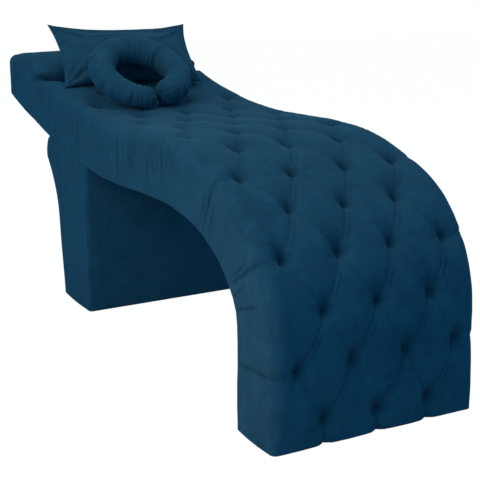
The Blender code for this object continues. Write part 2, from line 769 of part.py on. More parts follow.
def build_edge_covers():
    """Padded velvet on the two sides of the frame and round its head end."""
    side = band(offset(DECK, -GAP), offset(UNDERSIDE, 0.0))
    pair("side_cover", side, HALF_WIDTH - SIDE_PADDING, HALF_WIDTH, VELVET)

    edge = [(x, fall) for x, fall, _ in rounded_edge(HEAD_PAD_END)]
    sections = [
        [(x, reach - HALF_LENGTH, height) for reach, height in head_end_outline(fall)]
        for x, fall in [(-x, fall) for x, fall in edge[::-1]] + edge
    ]
    loft("head_end_cover", sections)


def surface(piece):
    """Points and triangles of a piece in world space."""
    bpy.context.view_layer.update()
    seen = piece.evaluated_get(bpy.context.evaluated_depsgraph_get())
    mesh = seen.to_mesh()
    mesh.calc_loop_triangles()
    points = [piece.matrix_world @ vertex.co for vertex in mesh.vertices]
    faces = [tuple(triangle.vertices) for triangle in mesh.loop_triangles]
    seen.to_mesh_clear()
    return points, faces


def settle(piece, seats):
    """Lower a loose cushion until it meets one of its seats, and lift it clear again by a hair."""
    points, faces = surface(piece)
    trees = [BVHTree.FromPolygons(*surface(seat)) for seat in seats]

    def meets(drop):
        lowered = [point - Vector((0.0, 0.0, drop)) for point in points]
        tree = BVHTree.FromPolygons(lowered, faces)
        return any(tree.overlap(other) for other in trees)

    clear = 0.0
    while not meets(clear + SETTLE_STEP):
        clear += SETTLE_STEP
    meeting = clear + SETTLE_STEP
    for _ in range(SETTLE_HALVINGS):
        middle = (clear + meeting) / 2
        if meets(middle):
            meeting = middle
        else:
            clear = middle
    piece.location.z -= clear - SETTLE_LIFT


def build_pillow():
    """Knife-edged pillow: two crowned faces whose edges pull in between pointed corners."""
    mesh = bpy.data.meshes.new("pillow")
    body = bmesh.new()
    columns, rows = PILLOW_CELLS
    for thickness, settling in ((PILLOW_FRONT, PILLOW_SETTLING), (-PILLOW_BACK, 0.0)):
        grid = bmesh.ops.create_grid(body, x_segments=columns, y_segments=rows, size=1.0)
        for vertex in grid["verts"]:
            u, v, _ = vertex.co
            crown = max((1 - u**2) * (1 - v**2), 0.0) ** PILLOW_FULLNESS
            x = u * (PILLOW_WIDTH / 2 - PILLOW_PULL * (1 - v**2))
            y = v * (PILLOW_HEIGHT / 2 - PILLOW_SAG * (1 - u**2))
            vertex.co = (x, y + PILLOW_HEIGHT / 2, thickness * crown * (1 - settling * v))
        if thickness < 0:
            back = {face for vertex in grid["verts"] for face in vertex.link_faces}
            bmesh.ops.reverse_faces(body, faces=list(back))
    bmesh.ops.remove_doubles(body, verts=body.verts, dist=WELD)
    body.to_mesh(mesh)
    body.free()
    mesh.shade_smooth()
    pillow = place("pillow", mesh, VELVET)
    pillow.rotation_euler = (RIGHT_ANGLE - PILLOW_LEAN, 0.0, PILLOW_TURN)
    reach = CREASE_REACH - PILLOW_SETBACK
    height = deck_height(CREASE_REACH) + HEAD_PAD_THICKNESS + PILLOW_HEIGHT
    pillow.location = (PILLOW_OFFSET, reach - HALF_LENGTH, height)
    return pillow


def build_neck_cushion():
    """Horseshoe tube: a round bend whose two rounded ends close in on a narrow mouth."""
    mouth = math.asin((NECK_TUBE + NECK_MOUTH / 2) / NECK_BEND)
    bend = spread(mouth - RIGHT_ANGLE, 3 * RIGHT_ANGLE - mouth, NECK_BEND_STEPS)
    path = [Vector((NECK_BEND * math.cos(angle), NECK_BEND * math.sin(angle))) for angle in bend]
    ends = spread(0.0, NECK_END_ANGLE, NECK_END_STEPS)[1:]
    start = (path[0] - path[1]).normalized() * NECK_TUBE
    stop = (path[-1] - path[-2]).normalized() * NECK_TUBE
    sizes = [math.cos(a) for a in ends[::-1]] + [1.0] * len(path) + [math.cos(a) for a in ends]
    first = [path[0] + start * math.sin(a) for a in ends[::-1]]
    path = first + path + [path[-1] + stop * math.sin(a) for a in ends]
    curve = bpy.data.curves.new("neck_cushion", "CURVE")
    curve.dimensions = "3D"
    curve.bevel_depth = NECK_TUBE
    curve.bevel_resolution = NECK_TUBE_ROUNDING
    curve.use_fill_caps = True
    spline = curve.splines.new("POLY")
    spline.points.add(len(path) - 1)
    for point, spot, size in zip(spline.points, path, sizes):
        point.co = (spot.x, spot.y, 0.0, 1.0)
        point.radius = size
    cushion = place("neck_cushion", curve, VELVET)
    cushion.rotation_euler = (NECK_TILT, 0.0, NECK_TURN)
    reach = CREASE_REACH - NECK_SETBACK
    height = deck_height(reach) + PAD_THICKNESS + PILLOW_HEIGHT
    cushion.location = (NECK_OFFSET, reach - HALF_LENGTH, height)
    return cushion


build_boards()
build_rails()
build_joint()
build_base_covers()
build_base_box()
build_glides()
build_edge_covers()
tufted_pad = build_tufted_pad()
head_pad = build_head_pad()
pillow = build_pillow()
settle(pillow, (tufted_pad, head_pad))
settle(build_neck_cushion(), (tufted_pad, pillow))
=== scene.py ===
# %% [markdown]
# # An eyelash extension bed in velvet
# A client lies on this salon bed while lashes are put on. A timber frame hides under foam and one skin
# of deep blue velvet, which is drawn in by covered buttons and falls to the floor at the foot.
# The imported CAD model is loaded first and never moved: it is the frame that every soft piece is cut to.

import json
import math

import bmesh
import bpy
import numpy as np
from mathutils import Euler, Matrix, Vector


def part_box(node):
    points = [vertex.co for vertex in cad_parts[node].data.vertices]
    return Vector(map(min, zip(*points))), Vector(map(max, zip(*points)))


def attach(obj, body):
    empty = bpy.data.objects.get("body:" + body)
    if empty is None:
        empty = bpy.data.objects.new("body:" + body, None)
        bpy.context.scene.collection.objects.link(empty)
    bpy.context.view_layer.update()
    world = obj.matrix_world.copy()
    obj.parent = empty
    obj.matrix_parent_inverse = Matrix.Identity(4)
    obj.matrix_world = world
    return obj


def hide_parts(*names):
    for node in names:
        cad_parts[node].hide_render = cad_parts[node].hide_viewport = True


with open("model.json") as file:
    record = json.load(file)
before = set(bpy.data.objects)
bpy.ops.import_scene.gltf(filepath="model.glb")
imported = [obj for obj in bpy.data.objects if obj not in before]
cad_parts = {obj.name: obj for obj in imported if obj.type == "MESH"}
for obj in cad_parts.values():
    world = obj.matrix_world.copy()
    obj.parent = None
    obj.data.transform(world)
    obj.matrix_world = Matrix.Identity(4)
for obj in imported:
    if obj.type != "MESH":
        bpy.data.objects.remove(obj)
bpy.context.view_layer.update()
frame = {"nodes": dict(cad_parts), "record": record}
nodes = frame["nodes"]

# %% [markdown]
# ## One way to add a node
# Blender's materials and Geometry Nodes are both trees of nodes. One small function adds a node, sets
# its options and fills each input with a value or with a link, so that a tree reads from top to bottom.
# Colours are written as the sRGB hex values that a colour picker shows, and turned to linear light.


# %% Node and colour helpers
def linear(hex_colour):
    """An sRGB hex colour as linear RGBA."""
    shares = [int(hex_colour[place : place + 2], 16) / 255 for place in (1, 3, 5)]
    return (*[c / 12.92 if c <= 0.04045 else ((c + 0.055) / 1.055) ** 2.4 for c in shares], 1.0)


def add(tree, kind, inputs=None, stops=(), **settings):
    """Add one node: its settings, a colour ramp's stops, then each input as a value or as a link.

    A link comes from a socket, or from a node's first output in use.
    """
    node = tree.nodes.new(kind)
    for name, value in settings.items():
        setattr(node, name, value)
    for number, (position, colour) in enumerate(stops):
        node.color_ramp.elements[number].position = position
        node.color_ramp.elements[number].color = linear(colour)
    for name, value in (inputs or {}).items():
        if isinstance(value, bpy.types.Node):
            value = next(socket for socket in value.outputs if socket.enabled)
        if isinstance(value, bpy.types.NodeSocket):
            tree.links.new(value, node.inputs[name])
        else:
            node.inputs[name].default_value = value
    return node


def new_material(name):
    """An empty node material, with its tree."""
    material = bpy.data.materials.new(name)
    material.use_nodes = True
    material.node_tree.nodes.clear()
    return material, material.node_tree


MILLIMETRE = 0.001
print("white in linear light", linear("#ffffff"))

# %% [markdown]
# ## The velvet
# Cotton velvet is woven with a pile of upright threads about 1.5 mm long. Light that grazes the tips
# comes back as a pale bloom, light that falls between them is lost, so the cloth looks deep in the
# hollows and milky on the turns. Strands of hair could show the pile, but millions of them are slow and
# hard to export, and Principled's sheen is made for that bloom. The pile lies this way and that where
# hands have brushed it, which gives soft patches some centimetres wide. Shade is painted into the
# colour as a darker line in each fold: a value stored on the mesh says where the folds are.

# %% Velvet
# Patches of brushed pile are about 90 mm wide, and streaks left by a hand or a brush 14 mm.
# Real pile is 0.3 mm apart, too fine to show, so its grain is drawn 3 mm wide.
PATCH_WIDTH, STREAK_WIDTH, PILE_WIDTH = 90 * MILLIMETRE, 14 * MILLIMETRE, 3 * MILLIMETRE
# Streaks are drawn out to about 60 mm, across the bed and down its sides.
STREAK_DRAWS = ((0.22, 1.0, 1.0), (1.0, 1.0, 0.22))


def make_velvet():
    """Woven cotton velvet: matt, deep blue, with a pale bloom at grazing angles, and painted shade in its
    folds.
    """
    material, tree = new_material("cotton_velvet_petrol_blue")
    place = add(tree, "ShaderNodeTexCoord").outputs["Object"]
    fold = add(tree, "ShaderNodeAttribute", attribute_name="fold").outputs["Fac"]
    brushed = add(
        tree,
        "ShaderNodeTexNoise",
        {"Vector": place, "Scale": 1 / PATCH_WIDTH, "Detail": 3.0, "Roughness": 0.6, "Distortion": 0.6},
    )
    pile = add(
        tree,
        "ShaderNodeTexNoise",
        {"Vector": place, "Scale": 1 / PILE_WIDTH, "Detail": 2.0, "Roughness": 0.7},
    )
    streaks = []
    for draw in STREAK_DRAWS:
        drawn = add(tree, "ShaderNodeMapping", {"Vector": place, "Scale": draw})
        look = {"Vector": drawn, "Scale": 1 / STREAK_WIDTH, "Detail": 2.0, "Distortion": 0.8}
        streaks.append(add(tree, "ShaderNodeTexNoise", look))
    crossed = add(
        tree, "ShaderNodeMix", {"Factor": 0.5, "A": streaks[0], "B": streaks[1]}, data_type="FLOAT"
    )
    nap = add(tree, "ShaderNodeMix", {"Factor": 0.40, "A": brushed, "B": crossed}, data_type="FLOAT")
    tone = add(tree, "ShaderNodeValToRGB", {"Fac": nap}, [(0.30, "#1b3f5b"), (0.70, "#27526e")])
    grain = add(
        tree,
        "ShaderNodeMix",
        {"Factor": 0.18, "A": tone, "B": pile.outputs["Color"]},
        data_type="RGBA",
        blend_type="SOFT_LIGHT",
    )
    # Painted shade: the colour is mixed towards a near-black blue by the mesh's fold value, in folds,
    # creases, dimples and gathers.
    painted_shade = add(
        tree, "ShaderNodeMix", {"Factor": fold, "A": grain, "B": linear("#011a30")}, data_type="RGBA"
    )
    rough = add(
        tree,
        "ShaderNodeMapRange",
        {"Value": brushed, "From Min": 0.3, "From Max": 0.7, "To Min": 0.82, "To Max": 0.95},
    )
    bump = add(tree, "ShaderNodeBump", {"Height": pile, "Strength": 0.25, "Distance": 0.6 * MILLIMETRE})
    shader = add(
        tree,
        "ShaderNodeBsdfPrincipled",
        {
            "Base Color": painted_shade,
            "Roughness": rough,
            "Normal": bump,
            "Specular IOR Level": 0.02,
            "Sheen Weight": 0.10,
            "Sheen Roughness": 0.45,
            "Sheen Tint": linear("#8fb6cf"),
        },
    )
    add(tree, "ShaderNodeOutputMaterial", {"Surface": shader})
    return material


VELVET = make_velvet()
print("made", VELVET.name)

# %% [markdown]
# ## What is out of sight
# Inside the upholstery are plywood boards, pine rails, a bent sheet of hardboard and zinc-plated bolts,
# and the bed stands on nylon glides. Their CAD solids have the right shape, so they stay and only get
# finishes: growth rings and long grain in the timber, pressed fibres in the hardboard, spangle on zinc.

# %% Timber, hardboard, zinc and nylon
FIBRE_WIDTH = 1.5 * MILLIMETRE
# A wave of scale 1 repeats every 0.31 m, so rings drawn at this share of it come out about six times as
# wide as real ones, which would be too fine to show.
RING_SHARE = 0.05
# The grain runs across the bed, so the pattern is drawn out along X.
GRAIN_DRAW = (0.06, 1.0, 1.0)
# Strength and depth of the relief.
TIMBER_RELIEF, SPECKLE_RELIEF = (0.3, 0.2 * MILLIMETRE), (0.2, 0.1 * MILLIMETRE)


def coat(tree, shade, grain, colours, roughness, relief, metallic=0.0):
    """Finish a surface: two colours by its shade, and roughness and relief by its grain."""
    tone = add(tree, "ShaderNodeValToRGB", {"Fac": shade}, enumerate(colours))
    rough = add(
        tree, "ShaderNodeMapRange", {"Value": grain, "To Min": roughness[0], "To Max": roughness[1]}
    )
    bump = add(tree, "ShaderNodeBump", {"Height": grain, "Strength": relief[0], "Distance": relief[1]})
    shader = add(
        tree,
        "ShaderNodeBsdfPrincipled",
        {"Base Color": tone, "Roughness": rough, "Normal": bump, "Metallic": metallic},
    )
    add(tree, "ShaderNodeOutputMaterial", {"Surface": shader})


def make_timber(name, colours, ring_width):
    """Planed softwood or peeled veneer: rings drawn out along the board, with fine fibres."""
    material, tree = new_material(name)
    place = add(tree, "ShaderNodeTexCoord").outputs["Object"]
    drawn = add(tree, "ShaderNodeMapping", {"Vector": place, "Scale": GRAIN_DRAW})
    scale = RING_SHARE / ring_width
    rings = add(
        tree,
        "ShaderNodeTexWave",
        {"Vector": drawn, "Scale": scale, "Distortion": 7.0, "Detail": 3.0, "Detail Scale": 1.4},
        wave_type="BANDS",
        bands_direction="Z",
    )
    fibre = add(tree, "ShaderNodeTexNoise", {"Vector": drawn, "Scale": 1 / FIBRE_WIDTH, "Detail": 3.0})
    coat(tree, rings.outputs["Fac"], fibre, colours, (0.55, 0.8), TIMBER_RELIEF)
    return material


def make_speckled(name, colours, grain, roughness, metallic=0.0):
    """A surface of small even flecks: pressed fibres, zinc spangle or moulded nylon."""
    material, tree = new_material(name)
    place = add(tree, "ShaderNodeTexCoord").outputs["Object"]
    fleck = add(tree, "ShaderNodeTexVoronoi", {"Vector": place, "Scale": 1 / grain})
    coat(tree, fleck, fleck, colours, roughness, SPECKLE_RELIEF, metallic)
    return material


# Planed pine is warm and pale with brown rings, and birch plywood is calmer, with a wider figure.
# Hardboard is brown and dull. Zinc plating glints coldly, and moulded nylon is black with a soft shine.
FINISHES = {
    "pine": make_timber("pine_planed", ("#d9b680", "#b98a4f"), 4 * MILLIMETRE),
    "plywood": make_timber("birch_plywood", ("#d2ad7c", "#b88f5e"), 9 * MILLIMETRE),
    "hardboard": make_speckled("hardboard_pressed", ("#6f4f36", "#8a6547"), 2 * MILLIMETRE, (0.5, 0.75)),
    "zinc": make_speckled("zinc_plated_steel", ("#b9bcc0", "#d4d6d9"), 1 * MILLIMETRE, (0.28, 0.42), 1.0),
    "nylon": make_speckled("nylon_moulded_black", ("#17181a", "#222326"), 1 * MILLIMETRE, (0.42, 0.6)),
}
for part in frame["record"]["subparts"]:
    node = nodes[part["node"]]
    node.data.materials.clear()
    node.data.materials.append(FINISHES.get(part["material_slot"], VELVET))
print("finished", len(nodes), "CAD nodes with", len(FINISHES) + 1, "materials")

# %% [markdown]
# ## The side profile
# The deck board under the padding is one bent line: straight up from the hem at the foot, over a knee,
# into a shallow dip and up to the head. The same sizes as in the CAD model give it here, as points with
# their normals, measured by length along the padded crown because the buttons are spaced along that.

# %% Sizes of the bed
LENGTH = 1.925
HALF_LENGTH = LENGTH / 2
HALF_WIDTH = 0.300
HEM = 0.004
PAD = 0.065
FRAME_DEPTH = 0.113
FRAME_END = LENGTH - 0.026
CREASE_REACH = LENGTH - 0.382
KNEE_START, KNEE_REACH, KNEE_POWER = 0.250, 0.600, 0.95
HUMP, DIP_REACH, DIP = 0.600, 1.030, 0.585
HEAD_RISE, HEAD_POWER = 0.153, 1.60
LEG_REAR, LEG_SPREAD = 0.169, 0.017
ARCH_START, ARCH_REACH = 0.330, 0.620
BASE_REAR = LENGTH - 0.420
BASE_FRONT = BASE_REAR - 0.325
print("bed", LENGTH, "m long and", 2 * HALF_WIDTH, "m wide, crease", round(CREASE_REACH, 3), "m along it")


# %% Shaping helpers
def share_of(value, start, end):
    """How far a value is on its way from start to end, from 0 to 1."""
    return np.clip((value - start) / (end - start), 0, 1)


def ease(share):
    """A share that starts and stops gently."""
    return share**2 * (3 - 2 * share)


def joined(*runs):
    """One line of points from runs of reaches and heights."""
    return np.vstack([np.column_stack(run) for run in runs])


def walked(line):
    """Length walked along a line of points, at each point."""
    return np.concatenate([[0.0], np.cumsum(np.linalg.norm(np.diff(line, axis=0), axis=1))])


def normals_of(line):
    """Unit normals on the left of a line of points."""
    along = np.gradient(line, axis=0)
    along /= np.linalg.norm(along, axis=1)[:, None]
    return np.column_stack([-along[:, 1], along[:, 0]])


print("a quarter of the way eases to", ease(0.25))


# %% Deck and underside lines
def deck_height(reach):
    """Height of the deck board's top beyond the knee."""
    sink = DIP + (HUMP - DIP) * (1 + np.cos(np.pi * (reach - KNEE_REACH) / (DIP_REACH - KNEE_REACH))) / 2
    rise = DIP + HEAD_RISE * (np.clip(reach - DIP_REACH, 0, None) / (LENGTH - DIP_REACH)) ** HEAD_POWER
    return np.where(reach <= DIP_REACH, sink, rise)


def deck_line(steps=300):
    """Points of the deck board's top from the hem to the head end."""
    foot = np.linspace(HEM, KNEE_START, steps)
    bend = np.linspace(0, np.pi / 2, steps)[1:]
    lying = np.linspace(KNEE_REACH, FRAME_END, 2 * steps)[1:]
    knee_reach = KNEE_REACH - (KNEE_REACH - PAD) * np.clip(np.cos(bend), 0, 1) ** KNEE_POWER
    knee_height = KNEE_START + (HUMP - KNEE_START) * np.sin(bend) ** KNEE_POWER
    return joined((np.full(steps, PAD), foot), (knee_reach, knee_height), (lying, deck_height(lying)))


def underside_line(steps=200):
    """Points of the frame's underside from the hem, through the arch, to the head end."""
    leg = np.linspace(0, 1, steps // 5)[:-1]
    leg_run = (LEG_REAR + LEG_SPREAD * leg, HEM + (ARCH_START - HEM) * leg)
    bend = np.linspace(0, np.pi / 2, steps)
    crown = float(deck_height(np.array(ARCH_REACH))) - FRAME_DEPTH
    arch_reach = ARCH_REACH - (ARCH_REACH - LEG_REAR - LEG_SPREAD) * np.cos(bend)
    arch_height = ARCH_START + (crown - ARCH_START) * np.sin(bend)
    # The line is straight over the pedestal, whose top is flat.
    reach = np.linspace(ARCH_REACH, FRAME_END, 2 * steps)[1:]
    seat = np.array([BASE_FRONT, BASE_REAR])
    straight = np.interp(reach, seat, deck_height(seat) - FRAME_DEPTH)
    on_base = (reach > BASE_FRONT) & (reach < BASE_REAR)
    height = np.where(on_base, straight, deck_height(reach) - FRAME_DEPTH)
    return joined(leg_run, (arch_reach, arch_height), (reach, height))


DECK, UNDERSIDE = deck_line(), underside_line()
print("deck line of", len(DECK), "points, underside of", len(UNDERSIDE))

# %% Crown of the padding
UPRIGHT_STRETCH = 0.10
# Over the last stretch the normals turn upright, to meet the round head end.
upright = share_of(DECK[:, 0], FRAME_END - UPRIGHT_STRETCH, FRAME_END)[:, None] ** 2
DECK_NORMALS = normals_of(DECK) * (1 - upright) + np.array([0.0, 1.0]) * upright
DECK_NORMALS /= np.linalg.norm(DECK_NORMALS, axis=1)[:, None]
CROWN = walked(DECK + DECK_NORMALS * PAD)
CROWN_END = float(CROWN[-1])


def on_crown(line, lengths):
    """Both coordinates of the deck's points or normals, at lengths along the crown."""
    return np.interp(lengths, CROWN, line[:, 0]), np.interp(lengths, CROWN, line[:, 1])


def above_deck(lengths, rise):
    """Y and Z at a rise above the deck board, square to it, at lengths along the crown."""
    (reach, level), (lean_reach, lean_level) = on_crown(DECK, lengths), on_crown(DECK_NORMALS, lengths)
    return reach + lean_reach * rise - HALF_LENGTH, level + lean_level * rise


past_knee = len(DECK) // 2
CREASE = float(np.interp(CREASE_REACH, DECK[past_knee:, 0], CROWN[past_knee:]))
print("crown is", round(CROWN_END, 4), "m long, crease at", round(CREASE, 4))

# %% [markdown]
# ## The button lattice
# Deep buttoning sets the buttons in staggered rows, here of three and of four. Cloth is folded into
# pleats that run from button to button, so that the plump diamonds between them have room to rise.
# From the outer buttons of each row of four a pleat runs over the edge and down the side.
# Rows are counted from the foot; the last is the crease where the plain head part begins.

# %% Rows and buttons
FIRST_ROW, FOOT_ROW_SPACING, FOOT_ROWS, LYING_ROWS = 0.048, 0.139, 6, 8
BUTTON_SPACING, OUTER_PLACE = 0.154, 1.5
foot_rows = FIRST_ROW + FOOT_ROW_SPACING * np.arange(FOOT_ROWS)
ROWS = np.concatenate([foot_rows, np.linspace(foot_rows[-1], CREASE, LYING_ROWS + 1)[1:]])
LAST_ROW = len(ROWS) - 1
PLACES = ((-1.0, 0.0, 1.0), (-OUTER_PLACE, -0.5, 0.5, OUTER_PLACE))
BUTTONS = [(ROWS[row], place * BUTTON_SPACING) for row in range(LAST_ROW) for place in PLACES[row % 2]]


def row_at(length):
    """Row number, with fractions, at a length along the crown."""
    before = (length - FIRST_ROW) / FOOT_ROW_SPACING
    return np.where(length < FIRST_ROW, before, np.interp(length, ROWS, np.arange(len(ROWS))))


# The middle button of a row at the knee, on which the rules below are tried out.
KNEE_BUTTON = (np.array([ROWS[4]]), np.zeros(1))
print(len(ROWS), "rows,", len(BUTTONS), "buttons")

# %% [markdown]
# ## Pleats, dimples and creases
# The cloth could be sculpted or simulated, but its pleats have to stay crisp and run exactly from button
# to button, so each way of drawing it in is a rule. A rule gives the depth below the crown in metres,
# and how far a point lies in a fold, which is painted darker there as painted shade. across is measured
# over the edge and down the side, and down goes from 0 on the deck to 1 at the bottom edge.

# %% Pleats from button to button
# How plump the diamonds are, at rows from the hem to the knee.
HEM_ROW = -0.34
PLUMPNESS = ([HEM_ROW, 0.0, 1.5, 3.5], [0.0, 0.30, 0.55, 1.0])
# Buttons are pulled tighter round the bend than under the shoulders.
EASED_ROWS, EASED_PLEATS, EASED_BUTTONS = (5.0, 8.0), 0.65, 0.7
PLEAT_SPACING = 0.9 * BUTTON_SPACING
DIAMOND_RISE, PLUMP_RISE = 0.0024, 0.0078
VALLEY_DEPTH, VALLEY_WIDTH, FALLING_VALLEY = 0.0020, 0.014, 0.6
LINE_WIDTH, RISING_LINE, FALLING_LINE = 0.0026, 0.0014, 0.0009
RISING_FOLD, FALLING_FOLD, BAND_FOLD = 0.28, 0.16, 0.16
BAND_PLACE, BAND_WIDTH, BAND_RISE = 0.0058, 0.0042, 0.0032
BAND_EDGE, BAND_EDGE_WIDTH, BAND_EDGE_DEPTH = 0.0120, 0.0032, 0.0012
HEM_PLEAT, HEM_PLEAT_WIDTH = 0.0060, 0.012
EDGE_ROWS, EDGE_EASED, EDGE_BLEND, EDGE_SLACK = (4.5, 6.0), 0.3, 0.15, 0.0020
EDGE_PLEAT, EDGE_PLEAT_WIDTH, EDGE_LINE, EDGE_LINE_WIDTH = 0.0034, 0.020, 0.0008, 0.0024


def bell(distance, width):
    """A smooth bump of height 1 that fades over a width."""
    return np.exp(-((distance / width) ** 2))


def crisp(distance, width):
    """A sharp line of height 1 that fades over a width."""
    return np.exp(-np.abs(distance) / width)


def pleats(length, across, down):
    """Depth and fold of the pleats between the buttons, and of those that run over the edge."""
    row = row_at(length)
    along, place = np.clip(row, 0, None), across / BUTTON_SPACING
    before_crease = np.clip(LAST_ROW - row, 0, 1)
    tight = np.interp(row, EASED_ROWS, (1.0, EASED_PLEATS)) * before_crease
    rising, falling = place - along / 2, place + along / 2
    off_rising, off_falling = ((way - np.round(way)) * PLEAT_SPACING for way in (rising, falling))
    rising_line, falling_line = crisp(off_rising, LINE_WIDTH), crisp(off_falling, LINE_WIDTH)
    deck = DIAMOND_RISE * (1 - np.sqrt(np.abs(np.sin(np.pi * rising) * np.sin(np.pi * falling))))
    deck += VALLEY_DEPTH * np.maximum(
        bell(off_rising, VALLEY_WIDTH), FALLING_VALLEY * bell(off_falling, VALLEY_WIDTH)
    )
    # Each diamond is plump: the pleats sink towards the buttons over their whole length.
    plump = np.interp(row, *PLUMPNESS)
    deck += PLUMP_RISE * plump * (np.cos(np.pi * rising) * np.cos(np.pi * falling)) ** 2
    deck += RISING_LINE * rising_line + FALLING_LINE * falling_line
    # The tucked cloth of each rising pleat lies beside its line as a narrow band with an edge of its own.
    tucked = np.sin(np.pi * falling) ** 2
    band_edge = bell(off_rising - BAND_EDGE, BAND_EDGE_WIDTH) * tucked
    deck += BAND_EDGE_DEPTH * band_edge - BAND_RISE * bell(off_rising - BAND_PLACE, BAND_WIDTH) * tucked
    deck += HEM_PLEAT * bell(off_rising, HEM_PLEAT_WIDTH) * share_of(row, 0.0, HEM_ROW)
    # Over the edge there is one pleat to each row of four.
    aside = (along - 2 * np.floor(along / 2) - 1) * FOOT_ROW_SPACING
    edge = EDGE_PLEAT * bell(aside, EDGE_PLEAT_WIDTH) + EDGE_LINE * crisp(aside, EDGE_LINE_WIDTH)
    edge = edge * np.interp(row, EDGE_ROWS, (1.0, EDGE_EASED)) * (1 - down) ** 2
    beyond = share_of(np.abs(place), OUTER_PLACE, OUTER_PLACE + EDGE_BLEND)
    depth = tight * (deck + (edge - deck) * beyond) + EDGE_SLACK * (1 - down) * before_crease
    # Painted shade: the pleat lines and the edges of the tucked bands are painted darker.
    folds = [RISING_FOLD * rising_line, FALLING_FOLD * falling_line, BAND_FOLD * band_edge]
    return depth, tight * np.maximum.reduce(folds) * (1 - beyond)


print("pleats sink", pleats(*KNEE_BUTTON, np.zeros(1))[0].round(4), "m at a knee button")

# %% Dimples under the buttons
# Widths ahead of a button, which is towards the head, behind it and to its sides, then depths.
HOLLOW_AHEAD, HOLLOW_BEHIND, HOLLOW_ASIDE, HOLLOW_DEPTH, PLUMP_EASE = 0.040, 0.017, 0.023, 0.0145, 0.0038
SEAT_RADIUS, SEAT_DEPTH = 0.011, 0.0055
# The puckers start at another angle round each button.
PUCKERS, PUCKER_STARTS = 8, (40, 9)
PUCKER_RADIUS, PUCKER_WIDTH, PUCKER_DEPTH = 0.030, 0.018, 0.0009
# The hollow is painted darker a little headward of each button, as painted shade: shift, widths and
# darkness.
SHADE_SHIFT, SHADE_AHEAD, SHADE_BEHIND, SHADE_ASIDE, SHADE_DARKNESS = 0.010, 0.031, 0.015, 0.0165, 0.60


def lopsided(headward, sideways, ahead, behind, aside):
    """A hollow of depth 1 that runs out slowly towards the head and ends in a short lip behind."""
    return bell(headward, np.where(headward > 0, ahead, behind)) * bell(sideways, aside)


def dimples(length, across):
    """Depth and fold of the hollow that each button pulls, with small puckers round it."""
    depth, fold = np.zeros_like(length), np.zeros_like(length)
    for spot, place in BUTTONS:
        headward, sideways = length - spot, across - place
        near = np.hypot(headward, sideways)
        pull = np.interp(row_at(spot), EASED_ROWS, (1.0, EASED_BUTTONS))
        deep = HOLLOW_DEPTH - PLUMP_EASE * np.interp(row_at(spot), *PLUMPNESS)
        hollow = lopsided(headward, sideways, HOLLOW_AHEAD, HOLLOW_BEHIND, HOLLOW_ASIDE)
        depth += pull * (deep * hollow + SEAT_DEPTH * bell(near, SEAT_RADIUS))
        start = PUCKER_STARTS[0] * spot + PUCKER_STARTS[1] * place
        pucker = np.sin(PUCKERS * np.arctan2(headward, sideways) + start)
        depth += PUCKER_DEPTH * pucker * bell(near - PUCKER_RADIUS, PUCKER_WIDTH)
        # Painted shade in the hollow.
        painted_shade = lopsided(headward - SHADE_SHIFT, sideways, SHADE_AHEAD, SHADE_BEHIND, SHADE_ASIDE)
        fold = np.maximum(fold, SHADE_DARKNESS * pull * painted_shade)
    return depth, fold


print("dimples sink", dimples(*KNEE_BUTTON)[0].round(4), "m there")

# %% Crease before the head part
# How far the crease lies towards the head, at distances from the middle, and how it narrows there.
CREASE_SWEEP = ([0.20, 0.24, 0.28, 0.335, 0.40, 0.50], [-0.015, -0.010, 0.022, 0.100, 0.135, 0.150])
CREASE_NARROWS = ([0.22, 0.34], [1.0, 0.15])
CREASE_DEPTH, CREASE_LIP, CREASE_FOLD = 0.0300, 0.008, 0.80
CREASE_CLIMB, CREASE_SHADE, CREASE_LEAVES = (0.012, 0.087), (0.040, 0.090), (0.285, 0.345)
SIDE_PLEAT, SIDE_PLEAT_WIDTH, SIDE_PLEAT_END = 0.0024, 0.0040, 2 / 3


def head_crease(length, across, down):
    """Depth and fold of the crease, which sweeps back where the velvet is drawn over the edge."""
    out = np.abs(across)
    past = length - CREASE - np.interp(out, *CREASE_SWEEP)
    climbed = past / np.interp(out, *CREASE_NARROWS)
    lip = np.exp(np.clip(past, None, 0) / CREASE_LIP)
    hollow = np.where(past < 0, lip, 1 - ease(share_of(climbed, *CREASE_CLIMB)))
    # The crease and its hollow are painted darker, as painted shade.
    dark = np.where(past < 0, lip**3, 1 - ease(share_of(climbed, *CREASE_SHADE)))
    on_deck = 1 - share_of(out, *CREASE_LEAVES)
    side_pleat = crisp(past, SIDE_PLEAT_WIDTH) * (1 - share_of(down, 0.0, SIDE_PLEAT_END))
    depth = CREASE_DEPTH * hollow * on_deck + SIDE_PLEAT * side_pleat * (1 - on_deck)
    return depth, CREASE_FOLD * dark * on_deck


crease_middle = (np.array([CREASE - CREASE_SWEEP[1][0]]), np.zeros(1))
print("crease sinks", head_crease(*crease_middle, np.zeros(1))[0].round(4), "m near its middle")

